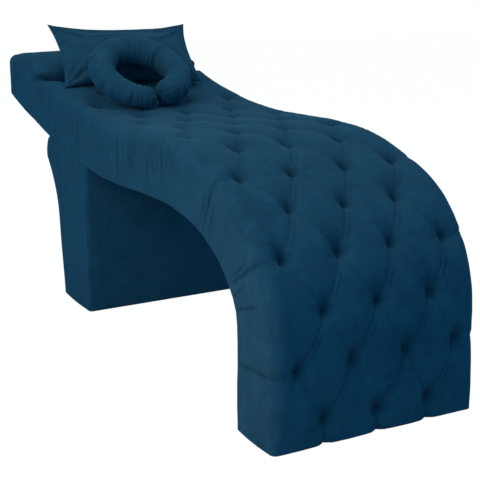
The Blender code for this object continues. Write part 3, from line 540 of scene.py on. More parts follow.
# %% Creases down the sides
# Row, drift towards the head on the way down, first and last share of the way down, depth in metres.
SIDE_CREASES = [
    (1.0, -0.014, 0.02, 1.00, 0.0042),
    (2.29, 0.002, 0.45, 1.00, 0.0032),
    (2.85, -0.010, 0.55, 1.00, 0.0024),
    (3.0, 0.022, 0.02, 0.98, 0.0042),
    (3.24, 0.004, 0.40, 0.92, 0.0026),
    (4.8, -0.006, 0.45, 0.90, 0.0024),
    (5.0, 0.014, 0.06, 0.98, 0.0046),
    (5.18, 0.008, 0.35, 0.85, 0.0030),
    (7.0, 0.000, 0.12, 0.85, 0.0026),
    (7.16, 0.006, 0.30, 0.62, 0.0016),
    (7.35, 0.005, 0.40, 0.70, 0.0020),
    (7.50, -0.003, 0.22, 0.50, 0.0014),
    (7.62, -0.004, 0.30, 0.85, 0.0018),
    (7.86, 0.003, 0.45, 0.80, 0.0014),
    (8.15, 0.004, 0.25, 0.55, 0.0020),
    (8.30, 0.002, 0.35, 0.70, 0.0014),
    (8.45, -0.008, 0.45, 0.75, 0.0016),
    (8.72, 0.004, 0.30, 0.66, 0.0015),
    (9.0, 0.002, 0.15, 0.88, 0.0026),
    (9.4, -0.003, 0.25, 0.60, 0.0013),
    (9.7, 0.004, 0.35, 0.75, 0.0015),
    (10.3, 0.003, 0.30, 0.70, 0.0012),
    (11.0, 0.000, 0.10, 0.75, 0.0014),
]
SIDE_LINE, SIDE_TAPER, RIGHT_SHIFT, SIDE_FOLD, FULL_FOLD_DEPTH = 0.0036, 0.6, 0.010, 0.75, 0.005
RIDGE_PLACE, RIDGE_WIDTH, RIDGE_RISE = 0.012, 0.007, 0.35


def side_creases(length, across, down):
    """Depth and fold of the thin creases that the cloth pulls as it is stapled under the frame."""
    depth, fold = np.zeros_like(length), np.zeros_like(length)
    for row, drift, first, last, deep in SIDE_CREASES:
        share = share_of(down, first, last)
        spot = np.interp(row, np.arange(len(ROWS)), ROWS) + drift * share + RIGHT_SHIFT * (across > 0)
        line = crisp(length - spot, SIDE_LINE) * np.sin(np.pi * share) ** SIDE_TAPER
        # The cloth beside a crease stands up a little where it is gathered.
        ridge = bell(length - spot - RIDGE_PLACE, RIDGE_WIDTH) * np.sin(np.pi * share)
        depth += deep * (line - RIDGE_RISE * ridge)
        # Each crease is painted darker, as painted shade.
        fold = np.maximum(fold, min(SIDE_FOLD, deep / FULL_FOLD_DEPTH) * line)
    return depth, fold


def drawn_in(length, across, down):
    """Depth of the velvet below its crown by all four rules, and how far each point lies in a fold."""
    pulls = [
        pleats(length, across, down),
        dimples(length, across),
        head_crease(length, across, down),
        side_creases(length, across, down),
    ]
    return sum(depth for depth, _ in pulls), np.maximum.reduce([fold for _, fold in pulls])


print(len(SIDE_CREASES), "side creases, all rules sink", drawn_in(*KNEE_BUTTON, np.zeros(1))[0].round(4))

# %% [markdown]
# ## The upholstered deck
# The velvet is one skin from the hem over the knee to the head, and down both sides to the bottom edge,
# so the deck pad, the head pad and the side padding are made as one closed body. It is a loft: at each
# of several hundred stations along the crown a cross-section is laid out, flat on top, rounded at the
# edges and straight down the sides, with the deck board's shape as its hollow underside.
# The lattice of stations and columns is set so that its diagonals are the pleats, which keeps each
# fold crisp. Small slow shifts of the lattice keep hand work from looking like a stamped pattern.

# %% Stations along the crown
CELLS, HEM_CELLS, CREASE_CELLS, HEAD_CELLS = 24, 8, 40, 91
HEM_STEPS, FIRST_STEP = [0.0, 0.0004, 0.0015, 0.004], 0.008
CREASE_CROWDING, HEAD_CROWDING = 1.3, 1.15
hem_lengths = np.concatenate([HEM_STEPS, np.linspace(FIRST_STEP, FIRST_ROW, HEM_CELLS + 1)])
row_lengths = [np.linspace(ROWS[row], ROWS[row + 1], CELLS + 1)[1:] for row in range(LAST_ROW - 1)]
# Stations crowd together on both sides of the crease.
before_crease = 1 - np.linspace(1, 0, CREASE_CELLS + 1)[1:] ** CREASE_CROWDING
row_lengths.append(ROWS[-2] + (ROWS[-1] - ROWS[-2]) * before_crease)
past_crease = np.linspace(0, 1, HEAD_CELLS + 1)[1:] ** HEAD_CROWDING
head_lengths = CREASE + (CROWN_END - CREASE) * past_crease
STATIONS = np.concatenate([hem_lengths, *row_lengths, head_lengths])
station_points = np.column_stack(on_crown(DECK, STATIONS))
station_normals = np.column_stack(on_crown(DECK_NORMALS, STATIONS))


def frame_depth(points, normals, thinnest=0.02, slack=0.001):
    """Distance from each deck point to the underside, straight through the frame."""
    depth = np.full(len(points), FRAME_DEPTH)
    first, step = UNDERSIDE[:-1], np.diff(UNDERSIDE, axis=0)
    for index, (point, normal) in enumerate(zip(points, normals)):
        cross = step[:, 0] * normal[1] - step[:, 1] * normal[0]
        gap = point - first
        share = (gap[:, 0] * normal[1] - gap[:, 1] * normal[0]) / cross
        reach = (gap[:, 0] * step[:, 1] - gap[:, 1] * step[:, 0]) / cross
        hits = reach[(share >= -slack) & (share <= 1 + slack) & (reach > thinnest)]
        if len(hits):
            depth[index] = hits.min()
    return depth


DEPTHS = frame_depth(station_points, station_normals)
print(len(STATIONS), "stations, frame", round(DEPTHS.min(), 3), "to", round(DEPTHS.max(), 3), "m deep")

# %% Cross-sections
EDGE_ROLL, HEM_ROLL = 0.004, 0.0015
CORNER, LOW_CORNER, HEM_CORNER, HEM_CORNER_END = 0.038, 0.8, 0.016, 0.16
HEAD_PAD, HEAD_ROLL, HEAD_PAD_END, HEAD_FALL = 0.082, 0.120, 0.032, 0.170
RIM_CELLS, TURN_CELLS, UPPER_CELLS, LOWER_CELLS, ROLL_CELLS = 5, 8, 5, 14, 4
# Signs of a section's six values in its left half.
MIRRORED = (-1, 1, -1, 1, -1, 1)
into = share_of(station_points[:, 0], CREASE_REACH, CREASE_REACH + HEAD_ROLL)
leaving = share_of(station_points[:, 0], FRAME_END - HEAD_FALL, FRAME_END)
head_heights = PAD + (HEAD_PAD - PAD) * ease(into) - (HEAD_PAD - HEAD_PAD_END) * leaving**2
HEIGHTS = np.where(STATIONS > CREASE, head_heights, PAD)


def half_section():
    """Right half of every section: x, rise, outward x, outward rise, unrolled distance, share down."""
    height, depth = HEIGHTS[:, None], DEPTHS[:, None]
    near_hem = 1 - share_of(STATIONS[:, None], 0.0, HEM_CORNER_END)
    corner = np.minimum(CORNER, LOW_CORNER * height) - (CORNER - HEM_CORNER) * near_hem**2
    flat, outer = HALF_WIDTH - corner, OUTER_PLACE * BUTTON_SPACING
    upright, straight = height - corner, depth - EDGE_ROLL
    turned = flat + corner * np.pi / 2
    top = np.linspace(0, outer, round(2 * OUTER_PLACE * CELLS) + 1)[None, :]
    rim, turn, upper, lower, roll = (
        np.linspace(0, 1, cells + 1)[None, 1:]
        for cells in (RIM_CELLS, TURN_CELLS, UPPER_CELLS, LOWER_CELLS, ROLL_CELLS)
    )
    rim = outer + (flat - outer) * rim
    turn, roll = turn * np.pi / 2, roll * np.pi / 2
    rolled = EDGE_ROLL * np.sin(roll)
    zones = [
        (top, height, 0.0, 1.0, top),
        (rim, height, 0.0, 1.0, rim),
        (
            flat + corner * np.sin(turn),
            height - corner * (1 - np.cos(turn)),
            np.sin(turn),
            np.cos(turn),
            flat + corner * turn,
        ),
        (HALF_WIDTH, upright * (1 - upper), 1.0, 0.0, turned + upright * upper),
        (HALF_WIDTH, -straight * lower, 1.0, 0.0, turned + upright + straight * lower),
        (
            HALF_WIDTH - EDGE_ROLL * (1 - np.cos(roll)),
            -straight - rolled,
            np.cos(roll),
            -np.sin(roll),
            turned + upright + straight + rolled,
        ),
    ]
    filled = [np.broadcast_arrays(*zone) for zone in zones]
    halves = [np.concatenate(runs, axis=1) for runs in zip(*filled)]
    return *halves, share_of(halves[4], flat, turned + upright + depth)


X, RISE, OUT_X, OUT_RISE, UNROLLED, DOWN = (
    np.concatenate([sign * right[:, :0:-1], right], axis=1) for right, sign in zip(half_section(), MIRRORED)
)
LENGTHS = STATIONS[:, None] + 0 * X
print("deck lattice", X.shape)

# %% Loose cloth and stuffing
# Radians per metre along and across, and share of the phase.
WAVES = ((23, 9, 1.0), (11, -19, 2.3), (5, 37, 1.7))
STRAYED, STRAY_PHASES = (0.0035, 0.0030), (1.9, 3.1)
HEM_SETTLE, HEAD_SETTLE = 0.05, 0.1
# Height in metres, then how much finer than the waves it is along and across, and its phase.
UNEVEN = ((0.0012, 1.3, 1.0, 0.4), (0.0004, 4.1, 3.7, 2.2))
WRINKLED, WRINKLE_BENDS = (1.0, 2.1, 1.6, 0.7), (1.2, 0.9, 1.4, 5.0)
WRINKLE, WRINKLE_DEPTH, WRINKLED_ROWS = 0.024, 0.0013, (4.5, 6.5)
# The right edge is stuffed fuller over the knee, and less on the foot and beyond the knee:
# row, spread in rows and height in metres. It is fuller again just past the crease.
STUFFING = ((3.9, 0.9, 0.0070), (1.6, 0.8, -0.0040), (7.5, 1.6, -0.0040))
PAST_CREASE, PAST_CREASE_WIDTH, PAST_CREASE_RISE, RIGHT_EDGE = 0.060, 0.045, 0.010, (0.20, 0.28)


def waver(length, across, phase):
    """A slow smooth shift between -1 and 1, different along and across."""
    return sum(np.sin(a * length + b * across + c * phase) for a, b, c in WAVES) / len(WAVES)


def strayed(length, across):
    """How far hand work strays from its marks, along and across."""
    return [far * waver(length, across, phase) for far, phase in zip(STRAYED, STRAY_PHASES)]


def finer(length, across, height, along, aside, phase):
    """A finer waver of some height."""
    return height * waver(along * length, aside * across, phase)


def loose_cloth(length, across, settled):
    """Depth of slow unevenness, and of patches of fine wrinkles that lie across the bed."""
    uneven = sum(finer(length, across, *look) for look in UNEVEN)
    patches = np.clip(finer(length, across, *WRINKLED), 0, 1) * settled
    patches = patches * share_of(row_at(length), *WRINKLED_ROWS)
    bends = finer(length, across, *WRINKLE_BENDS)
    return uneven + WRINKLE_DEPTH * patches * np.sin(2 * np.pi * (length / WRINKLE + bends))


def right_stuffing(length, across, down):
    """How much further the right edge stands out."""
    row = row_at(length)
    fuller = sum(height * bell(row - middle, spread) for middle, spread, height in STUFFING)
    fuller += PAST_CREASE_RISE * bell(length - CREASE - PAST_CREASE, PAST_CREASE_WIDTH)
    return fuller * share_of(across, *RIGHT_EDGE) * (1 - down)


SETTLED = share_of(LENGTHS, 0.0, HEM_SETTLE) * share_of(CROWN_END - LENGTHS, 0.0, HEAD_SETTLE)
SETTLED = SETTLED * (1 - DOWN) ** 2
hem_inset = HEM_ROLL * (1 - np.sqrt(1 - (1 - share_of(STATIONS, 0.0, HEM_ROLL)) ** 2))
SUNK, FOLD = drawn_in(LENGTHS, UNROLLED, DOWN)
SUNK = SUNK + loose_cloth(LENGTHS, UNROLLED, SETTLED) + hem_inset[:, None]
SUNK = SUNK - right_stuffing(LENGTHS, UNROLLED, DOWN)
print("velvet lies", round(SUNK.min(), 4), "to", round(SUNK.max(), 4), "m below its crown")

# %% Skin of the deck
HEM_DROP, HEM_DROP_END, SKIRT_END, SKIRT_RIGHT, SKIRT_LEFT = 0.0034, 0.02, 0.14, 0.009, 0.005
SIDE_PADDING, SIDE_GAP, BOARD_GAP = 0.014, 0.0003, 0.0002


def outer_skin():
    """Points of the velvet's face: each station's section, drawn in along its own normals."""
    along, aside = strayed(LENGTHS, UNROLLED)
    lengths = np.clip(LENGTHS + along * SETTLED, 0, CROWN_END)
    y, z = above_deck(lengths, RISE - OUT_RISE * SUNK)
    z = z - HEM_DROP * (1 - share_of(lengths, 0.0, HEM_DROP_END))
    # Near the floor the right side is drawn in and the left side bellies out.
    skirt = (1 - share_of(LENGTHS, 0.0, SKIRT_END)) ** 2
    hang = np.where(X > 0, SKIRT_RIGHT * X / HALF_WIDTH, SKIRT_LEFT * np.sin(np.pi * DOWN))
    return np.stack([X + aside * SETTLED - OUT_X * SUNK - skirt * hang, y, z], axis=-1)


def inner_line(side, share):
    """Points along one inner corner: on the deck board, or a share of the frame's depth above it."""
    y, z = above_deck(STATIONS, share * DEPTHS + BOARD_GAP)
    return np.column_stack([np.full(len(STATIONS), side), y, z])


OUTER = outer_skin()
inner_x = HALF_WIDTH - SIDE_PADDING + SIDE_GAP
inner_corners = ((inner_x, -1.0), (inner_x, 0.0), (-inner_x, 0.0), (-inner_x, -1.0))
INNER = np.stack([inner_line(side, share) for side, share in inner_corners], axis=1)
RINGS = np.concatenate([OUTER, INNER], axis=1)
print("skin of", RINGS.shape[0], "rings with", RINGS.shape[1], "points each")

# %% Loft helpers
TINY, SHARP_ANGLE = 1e-6, math.radians(75)


def placed(name, data):
    """A new object at the origin, in the scene."""
    item = bpy.data.objects.new(name, data)
    bpy.context.scene.collection.objects.link(item)
    return item


def dressed(name, mesh):
    """A finished mesh in velvet."""
    mesh.materials.clear()
    mesh.materials.append(VELVET)
    return placed(name, mesh)


def sewn(name, points, faces, fold=None):
    """A closed velvet mesh, with its doubles merged and its faces turned outwards."""
    mesh = bpy.data.meshes.new(name)
    mesh.from_pydata(points.reshape(-1, 3).tolist(), [], faces)
    if fold is not None:
        layer = mesh.attributes.new("fold", "FLOAT", "POINT")
        layer.data.foreach_set("value", fold.reshape(-1).astype(np.float32))
    body = bmesh.new()
    body.from_mesh(mesh)
    bmesh.ops.remove_doubles(body, verts=body.verts, dist=TINY)
    bmesh.ops.recalc_face_normals(body, faces=body.faces)
    body.to_mesh(mesh)
    body.free()
    mesh.shade_smooth()
    return dressed(name, mesh)


def loft(name, rings, around=False, fold=None):
    """A closed skin through rings of equal point count; its ends are filled unless the rings go around."""
    corners = np.arange(rings.shape[0] * rings.shape[1]).reshape(rings.shape[:2])
    own, following = (corners, np.roll(corners, -1, axis=0)) if around else (corners[:-1], corners[1:])
    quads = np.stack([own, np.roll(own, -1, axis=1), np.roll(following, -1, axis=1), following], axis=-1)
    ends = [] if around else [corners[0][::-1].tolist(), corners[-1].tolist()]
    piece = sewn(name, rings, quads.reshape(-1, 4).tolist() + ends, fold)
    piece.data.set_sharp_from_angle(angle=SHARP_ANGLE)
    return piece


print("edges sharper than", round(math.degrees(SHARP_ANGLE)), "degrees stay sharp")

# %% Round head end
END_BULGE, END_ROUNDNESS, END_DRAW, END_GAP = 0.034, 2.8, 0.012, 0.0003
END_TURNS = np.linspace(0, 0.46 * np.pi, 18)


def end_rings():
    """Rings that close the head end: the last outline, drawn in step by step round a soft corner."""
    outline = OUTER[-1]
    middle = np.array([0.0, 0.0, (outline[:, 2].min() + outline[:, 2].max()) / 2])
    made = []
    for turn in END_TURNS:
        narrower = 1 - END_DRAW * (1 - math.cos(turn)) / HALF_WIDTH
        ring = middle + (outline - middle) * (narrower, 1.0, math.cos(turn) ** (2 / END_ROUNDNESS))
        bulge = END_BULGE * math.sin(turn) ** (2 / END_ROUNDNESS) + END_GAP
        ring[:, 1] = FRAME_END - HALF_LENGTH + bulge
        low_middle = (0.0, ring[0, 1], ring[:, 2].min())
        made.append(np.concatenate([ring, np.tile(low_middle, (INNER.shape[1], 1))]))
    return np.array(made)


deck_rings = np.concatenate([RINGS, end_rings()])
deck_fold = np.zeros(deck_rings.shape[:2])
deck_fold[: len(OUTER), : OUTER.shape[1]] = FOLD
velvet_deck = loft("velvet_deck", deck_rings, fold=deck_fold)
print("velvet deck", len(velvet_deck.data.polygons), "faces")

# %% [markdown]
# ## Covered buttons
# Each button is a flat dome of tin pressed into the same velvet and pulled down on a cord, so only its
# face shows at the bottom of a dimple. They repeat, so Geometry Nodes sets one dome on each point of a
# small point mesh and turns it to face outwards. The result is made a plain mesh for the export.

# %% Points for the buttons
# Each button is painted part way to the shade colour, as painted shade at the bottom of its dimple.
BUTTON_SINK, BUTTON_RADIUS, BUTTON_CROWN, BUTTON_SHADE = 0.0015, 0.0095, 0.0040, 0.5


def button_points():
    """A mesh of one point in each dimple, with the way it faces and how much painted shade darkens it."""
    length, across = np.array(BUTTONS).T
    sunk, _ = drawn_in(length, across, np.zeros_like(length))
    along, aside = strayed(length, across)
    spots = np.column_stack([across + aside, *above_deck(length + along, PAD - sunk - BUTTON_SINK)])
    ways = np.column_stack([0 * length, *on_crown(DECK_NORMALS, length + along)])
    mesh = bpy.data.meshes.new("button_points")
    mesh.from_pydata(spots.tolist(), [], [])
    facing = mesh.attributes.new("facing", "FLOAT_VECTOR", "POINT")
    facing.data.foreach_set("vector", ways.ravel())
    painted_shade = mesh.attributes.new("fold", "FLOAT", "POINT")
    painted_shade.data.foreach_set("value", [BUTTON_SHADE] * len(BUTTONS))
    return mesh


points = button_points()
print("button points", len(points.vertices))


# %% Button tree
def button_tree():
    """Geometry Nodes: one velvet dome on every point, turned to its direction."""
    tree = bpy.data.node_groups.new("covered_buttons", "GeometryNodeTree")
    tree.interface.new_socket("Geometry", in_out="INPUT", socket_type="NodeSocketGeometry")
    radius = tree.interface.new_socket("Radius", in_out="INPUT", socket_type="NodeSocketFloat")
    crown = tree.interface.new_socket("Crown", in_out="INPUT", socket_type="NodeSocketFloat")
    tree.interface.new_socket("Geometry", in_out="OUTPUT", socket_type="NodeSocketGeometry")
    given = add(tree, "NodeGroupInput").outputs
    dome = add(tree, "GeometryNodeMeshUVSphere", {"Segments": 20, "Rings": 10, "Radius": 1.0})
    size = add(
        tree, "ShaderNodeCombineXYZ", {"X": given["Radius"], "Y": given["Radius"], "Z": given["Crown"]}
    )
    facing = add(tree, "GeometryNodeInputNamedAttribute", {"Name": "facing"}, data_type="FLOAT_VECTOR")
    turned = add(tree, "FunctionNodeAlignRotationToVector", {"Vector": facing}, axis="Z")
    domes = add(
        tree,
        "GeometryNodeInstanceOnPoints",
        {"Points": given["Geometry"], "Instance": dome, "Rotation": turned, "Scale": size},
    )
    smooth = add(tree, "GeometryNodeSetShadeSmooth", {"Geometry": domes})
    solid = add(tree, "GeometryNodeRealizeInstances", {"Geometry": smooth})
    covered = add(tree, "GeometryNodeSetMaterial", {"Geometry": solid, "Material": VELVET})
    add(tree, "NodeGroupOutput", {"Geometry": covered})
    return tree, {radius.identifier: BUTTON_RADIUS, crown.identifier: BUTTON_CROWN}


def realised(mesh, tree, values):
    """Run a tree on a mesh and keep the result as a plain mesh."""
    carrier = placed("carrier", mesh)
    grown = carrier.modifiers.new("nodes", "NODES")
    grown.node_group = tree
    for identifier, value in values.items():
        grown[identifier] = value
    bpy.context.view_layer.update()
    result = bpy.data.meshes.new_from_object(carrier.evaluated_get(bpy.context.evaluated_depsgraph_get()))
    bpy.data.objects.remove(carrier, do_unlink=True)
    return result


deck_buttons = dressed("deck_buttons", realised(points, *button_tree()))
print("buttons", len(deck_buttons.data.polygons), "faces")

# %% [markdown]
# ## The pedestal
# A padded velvet jacket goes round the plywood box under the shoulders. Its front is upright, its rear
# leans back, flares under the head and rolls over into a lip. It is lofted round the box: at each step
# of a rounded rectangle stands one cross-section of the jacket, its outer face up and its inner face down.

# %% Rear of the pedestal
BASE_HEM, SEAT_GAP, LIP_DROP = 0.0008, 0.0003, 0.073
BASE_DEPTH, BASE_LEAN, FLARE, FLARE_HEIGHT = 0.240, 0.100, 0.085, 0.205
FRONT_SEAT, REAR_SEAT = deck_height(np.array([BASE_FRONT, BASE_REAR])) - FRAME_DEPTH - SEAT_GAP
LIP_HEIGHT = REAR_SEAT - LIP_DROP


def rear_face(shares, steps=90):
    """Reaches and heights up the rear of the pedestal: leaning, flaring, then over the lip."""
    height = np.linspace(BASE_HEM, LIP_HEIGHT, steps)
    flare = share_of(height, LIP_HEIGHT - FLARE_HEIGHT, LIP_HEIGHT)
    reach = BASE_FRONT + BASE_DEPTH + BASE_LEAN * height + FLARE * flare**2
    over = np.linspace(0, np.pi / 2, steps // 3 + 1)[1:]
    lip_reach = BASE_REAR + (reach[-1] - BASE_REAR) * np.cos(over)
    face = joined((reach, height), (lip_reach, LIP_HEIGHT + LIP_DROP * np.sin(over)))
    way = walked(face)
    return np.interp(shares * way[-1], way, face[:, 0]), np.interp(shares * way[-1], way, face[:, 1])


print("pedestal's lip at", round(LIP_HEIGHT, 3), "m, its seat at", round(REAR_SEAT, 3))

# %% Pedestal jacket
BASE_PADDING, BASE_CORNER, BASE_SLACK = 0.012, 0.011, 0.0012
TURN_SHARE, HEM_TURN, TOP_TURN = 0.02, 0.002, 0.005
BASE_BELLY, BELLY_SHARE = 0.004, 0.2
CORNER_STEPS, FRONT_STEPS, SIDE_STEPS, TURN_STEPS, UP_STEPS = 6, 42, 24, 5, 60
# Slack cloth waves by so many radians per metre across and up, and from front to rear.
WAVE_ACROSS, WAVE_UP, WAVE_REARWARD = 9, 13, 5


def jacket_plan():
    """Steps round the pedestal: x, share from front to rear, and the shift round each corner."""
    turn = np.linspace(0, np.pi / 2, CORNER_STEPS)
    corner = list(zip(HALF_WIDTH - BASE_CORNER * (1 - np.sin(turn)), BASE_CORNER * (1 - np.cos(turn))))
    half = [(x, 0.0, 0.0) for x in np.linspace(-1, 1, FRONT_STEPS)[1:-1] * (HALF_WIDTH - BASE_CORNER)]
    half += [(x, 0.0, shift) for x, shift in corner]
    half += [(HALF_WIDTH, share, 0.0) for share in np.linspace(0, 1, SIDE_STEPS)[1:-1]]
    half += [(x, 1.0, -shift) for x, shift in corner[::-1]]
    return half + [(-x, 1 - share, -shift) for x, share, shift in half]


def jacket_rings():
    """Cross-sections of the jacket, up its face and down its back, at each step of the plan."""
    between = np.linspace(TURN_SHARE, 1 - TURN_SHARE, UP_STEPS)[1:-1]
    near_hem = np.linspace(0, TURN_SHARE, TURN_STEPS)
    up = np.concatenate([near_hem, between, np.linspace(1 - TURN_SHARE, 1, TURN_STEPS)])
    rear_reach, rear_height = rear_face(up)
    front_height = BASE_HEM + (FRONT_SEAT - BASE_HEM) * up
    edge = 1 - share_of(np.minimum(up, 1 - up), 0.0, TURN_SHARE)
    rolled = np.where(up < 0.5, HEM_TURN, TOP_TURN) * (1 - np.sqrt(1 - edge**2))
    rings = []
    for x, share, shift in jacket_plan():
        out_x = x / HALF_WIDTH if abs(x) >= HALF_WIDTH - BASE_CORNER else 0.0
        out_y = {0.0: -1.0, 1.0: 1.0}.get(share, 0.0)
        height = front_height + (rear_height - front_height) * share
        wave = WAVE_ACROSS * x + WAVE_UP * height + WAVE_REARWARD * share
        slack = BASE_SLACK * np.sin(wave) * np.sin(np.pi * up)
        # The left side bellies out near the floor.
        belly = BASE_BELLY * np.sin(np.pi * share) * (1 - share_of(up, 0.0, BELLY_SHARE)) ** 2 * (x < 0)
        reach = BASE_FRONT + (rear_reach - BASE_FRONT) * share + shift - out_y * (rolled + slack)
        back_x = np.clip(x, BASE_PADDING - HALF_WIDTH, HALF_WIDTH - BASE_PADDING)
        back_reach = BASE_FRONT + BASE_PADDING + (rear_reach - BASE_FRONT - 2 * BASE_PADDING) * share
        face = np.column_stack([x - belly - out_x * (rolled + slack), reach - HALF_LENGTH, height])
        back = np.column_stack([np.full(len(up), back_x), back_reach - HALF_LENGTH, height])
        rings.append(np.concatenate([face, back[::-1]]))
    return np.array(rings)


pedestal = loft("pedestal_jacket", jacket_rings(), around=True)
print("pedestal jacket", len(pedestal.data.polygons), "faces")

# %% [markdown]
# ## The lining underneath
# The hollow of the arch and the underside of the head are closed with thin velvet over wadding, stapled
# along the edges so that it bellies out a little between them. Each is a strip that follows the
# underside line, with its back against the boards.

# %% Underside linings
LINING_HALF, LINING_BACK, LINING_HEM, LINING_LAP = 0.2855, 0.0038, 0.0012, 0.004
LINING_SINK, LINING_SWELL, LINING_FULLNESS = 0.0010, 0.0012, 0.3
LINING_RIPPLE, RIPPLE_ACROSS, RIPPLE_ALONG = 0.0003, 40, 0.07
LINING_EDGE, LINING_STEPS = [0.99, 0.998, 1.0], np.linspace(-0.98, 0.98, 30)


def lining(name, first, last):
    """A thin padded strip along the underside between two reaches."""
    line = UNDERSIDE[(UNDERSIDE[:, 0] >= first) & (UNDERSIDE[:, 0] <= last)]
    out = -normals_of(line)
    back = line - out * LINING_BACK
    if line[0, 1] <= HEM:
        line[0, 1] = back[0, 1] = LINING_HEM
    shares = np.concatenate([-np.array(LINING_EDGE[::-1]), LINING_STEPS, LINING_EDGE])
    across = shares * LINING_HALF
    belly = LINING_SWELL * np.clip(1 - shares**2, 0, 1) ** LINING_FULLNESS - LINING_SINK
    rings = []
    for index, (spot, way, rear) in enumerate(zip(line, out, back)):
        swell = belly + LINING_RIPPLE * np.sin(RIPPLE_ACROSS * across + RIPPLE_ALONG * index)
        face = np.column_stack([across, spot[0] + way[0] * swell - HALF_LENGTH, spot[1] + way[1] * swell])
        behind = [(side, rear[0] - HALF_LENGTH, rear[1]) for side in (LINING_HALF, -LINING_HALF)]
        rings.append(np.concatenate([face, behind]))
    return loft(name, np.array(rings))


arch_velvet = lining("arch_velvet", LEG_REAR, BASE_FRONT + LINING_LAP)
head_velvet = lining("head_velvet", BASE_REAR - LINING_LAP, FRAME_END)
print("linings", len(arch_velvet.data.polygons) + len(head_velvet.data.polygons), "faces")

# %% [markdown]
# ## Blowing up a cushion
# A stuffed cushion takes its shape from cloth that can hardly stretch and filling that pushes outwards.
# Blender's cloth simulation does just that: the sewn shape is made a little thin, pressure swells it for
# twenty frames with no gravity, and no point may move further than a cap, so that it stays in its place.
# The seam is held. The same start always gives the same result.

# %% Cloth helper
FRAMES = 20
CLOTH = {
    "quality": 6,
    "mass": 0.25,
    "tension_stiffness": 20,
    "compression_stiffness": 20,
    "shear_stiffness": 8,
    "bending_stiffness": 0.6,
    "use_pressure": True,
}


def inflate(piece, pressure, cap, seam):
    """Swell a closed mesh by cloth pressure, with each point's way capped, and keep the result."""
    start = np.array([vertex.co for vertex in piece.data.vertices])
    piece.vertex_groups.new(name="seam").add(seam, 1.0, "REPLACE")
    cloth = piece.modifiers.new("filling", "CLOTH")
    for name, value in CLOTH.items():
        setattr(cloth.settings, name, value)
    cloth.settings.uniform_pressure_force = pressure
    cloth.settings.effector_weights.gravity = 0
    cloth.settings.vertex_group_mass = "seam"
    cloth.point_cache.frame_start = 1
    cloth.point_cache.frame_end = FRAMES
    for number in range(1, FRAMES + 1):
        bpy.context.scene.frame_set(number)
    swollen = piece.evaluated_get(bpy.context.evaluated_depsgraph_get()).to_mesh()
    moved = np.array([vertex.co for vertex in swollen.vertices]) - start
    way = np.linalg.norm(moved, axis=1)
    moved *= np.minimum(1, cap / np.maximum(way, TINY))[:, None]
    piece.modifiers.remove(cloth)
    piece.vertex_groups.clear()
    bpy.context.scene.frame_set(1)
    piece.data.vertices.foreach_set("co", (start + moved).astype(np.float32).ravel())
    piece.data.update()
    return float(way.max())


print("cloth settles over", FRAMES, "frames")

# %% [markdown]
# ## The pillow
# A knife-edged pillow is two panels sewn round the edge. Filled, its sides draw in between the corners,
# which stay behind as ears. It stands on its long edge and leans on the head part, a little turned.
# Folds that fan out from the corners and short puckers along the seam are put in by rule before it is
# blown up, because the simulation alone leaves a seam smooth.

# %% Folds of the pillow
PILLOW_WIDTH, PILLOW_HEIGHT = 0.478, 0.272
# Side and end of a corner, number of folds in a full turn, first angle and strength.
CORNER_FOLDS = ((-1, -1, 9, 0.6, 0.20), (-1, 1, 11, 2.0, 0.16), (1, 1, 10, 0.2, 0.16), (1, -1, 9, 1.3, 0.2))
CORNER_REACH, CORNER_TWIST, PILLOW_SEED = 0.12, 6, 5
# Number of puckers, stretch of the seam and lean: on the left edge, then on the lower one.
LEFT_PUCKERS, LOWER_PUCKERS = (24, (-0.120, 0.050), 0.5), (32, (-0.220, 0.220), 0.0)
SEAM_WIDTHS, SEAM_REACHES, SEAM_DEPTHS, LEAN_SCATTER = (0.004, 0.008), (0.012, 0.045), (0.08, 0.26), 0.3


def corner_folds(u, v):
    """Folds that fan out from the four corners, as a share of the thickness."""
    folds = np.zeros_like(u)
    for side, end, count, start, strength in CORNER_FOLDS:
        sideways, lengthways = (1 - side * u) * PILLOW_WIDTH / 2, (1 - end * v) * PILLOW_HEIGHT / 2
        away, turn = np.hypot(sideways, lengthways), np.arctan2(lengthways, sideways)
        folds += strength * np.sin(count * turn + start + CORNER_TWIST * away) * bell(away, CORNER_REACH)
    return folds


def seam_puckers(u, v):
    """Short dents that run in from the seam at the left and lower edges, as a share of the thickness."""
    pick = np.random.default_rng(PILLOW_SEED)
    dents = np.zeros_like(u)
    over, up = u * PILLOW_WIDTH / 2, v * PILLOW_HEIGHT / 2
    left_edge = (up, over + PILLOW_WIDTH / 2, *LEFT_PUCKERS)
    lower_edge = (over, up + PILLOW_HEIGHT / 2, *LOWER_PUCKERS)
    for along, inward, count, stretch, lean in (left_edge, lower_edge):
        for _ in range(count):
            spot = pick.uniform(*stretch)
            wide, reach = pick.uniform(*SEAM_WIDTHS), pick.uniform(*SEAM_REACHES)
            deep, slant = pick.uniform(*SEAM_DEPTHS), pick.normal(lean, LEAN_SCATTER)
            dents += deep * bell(along - spot - slant * inward, wide) * np.exp(-inward / reach)
    return dents


print("puckers along the seam", LEFT_PUCKERS[0] + LOWER_PUCKERS[0])

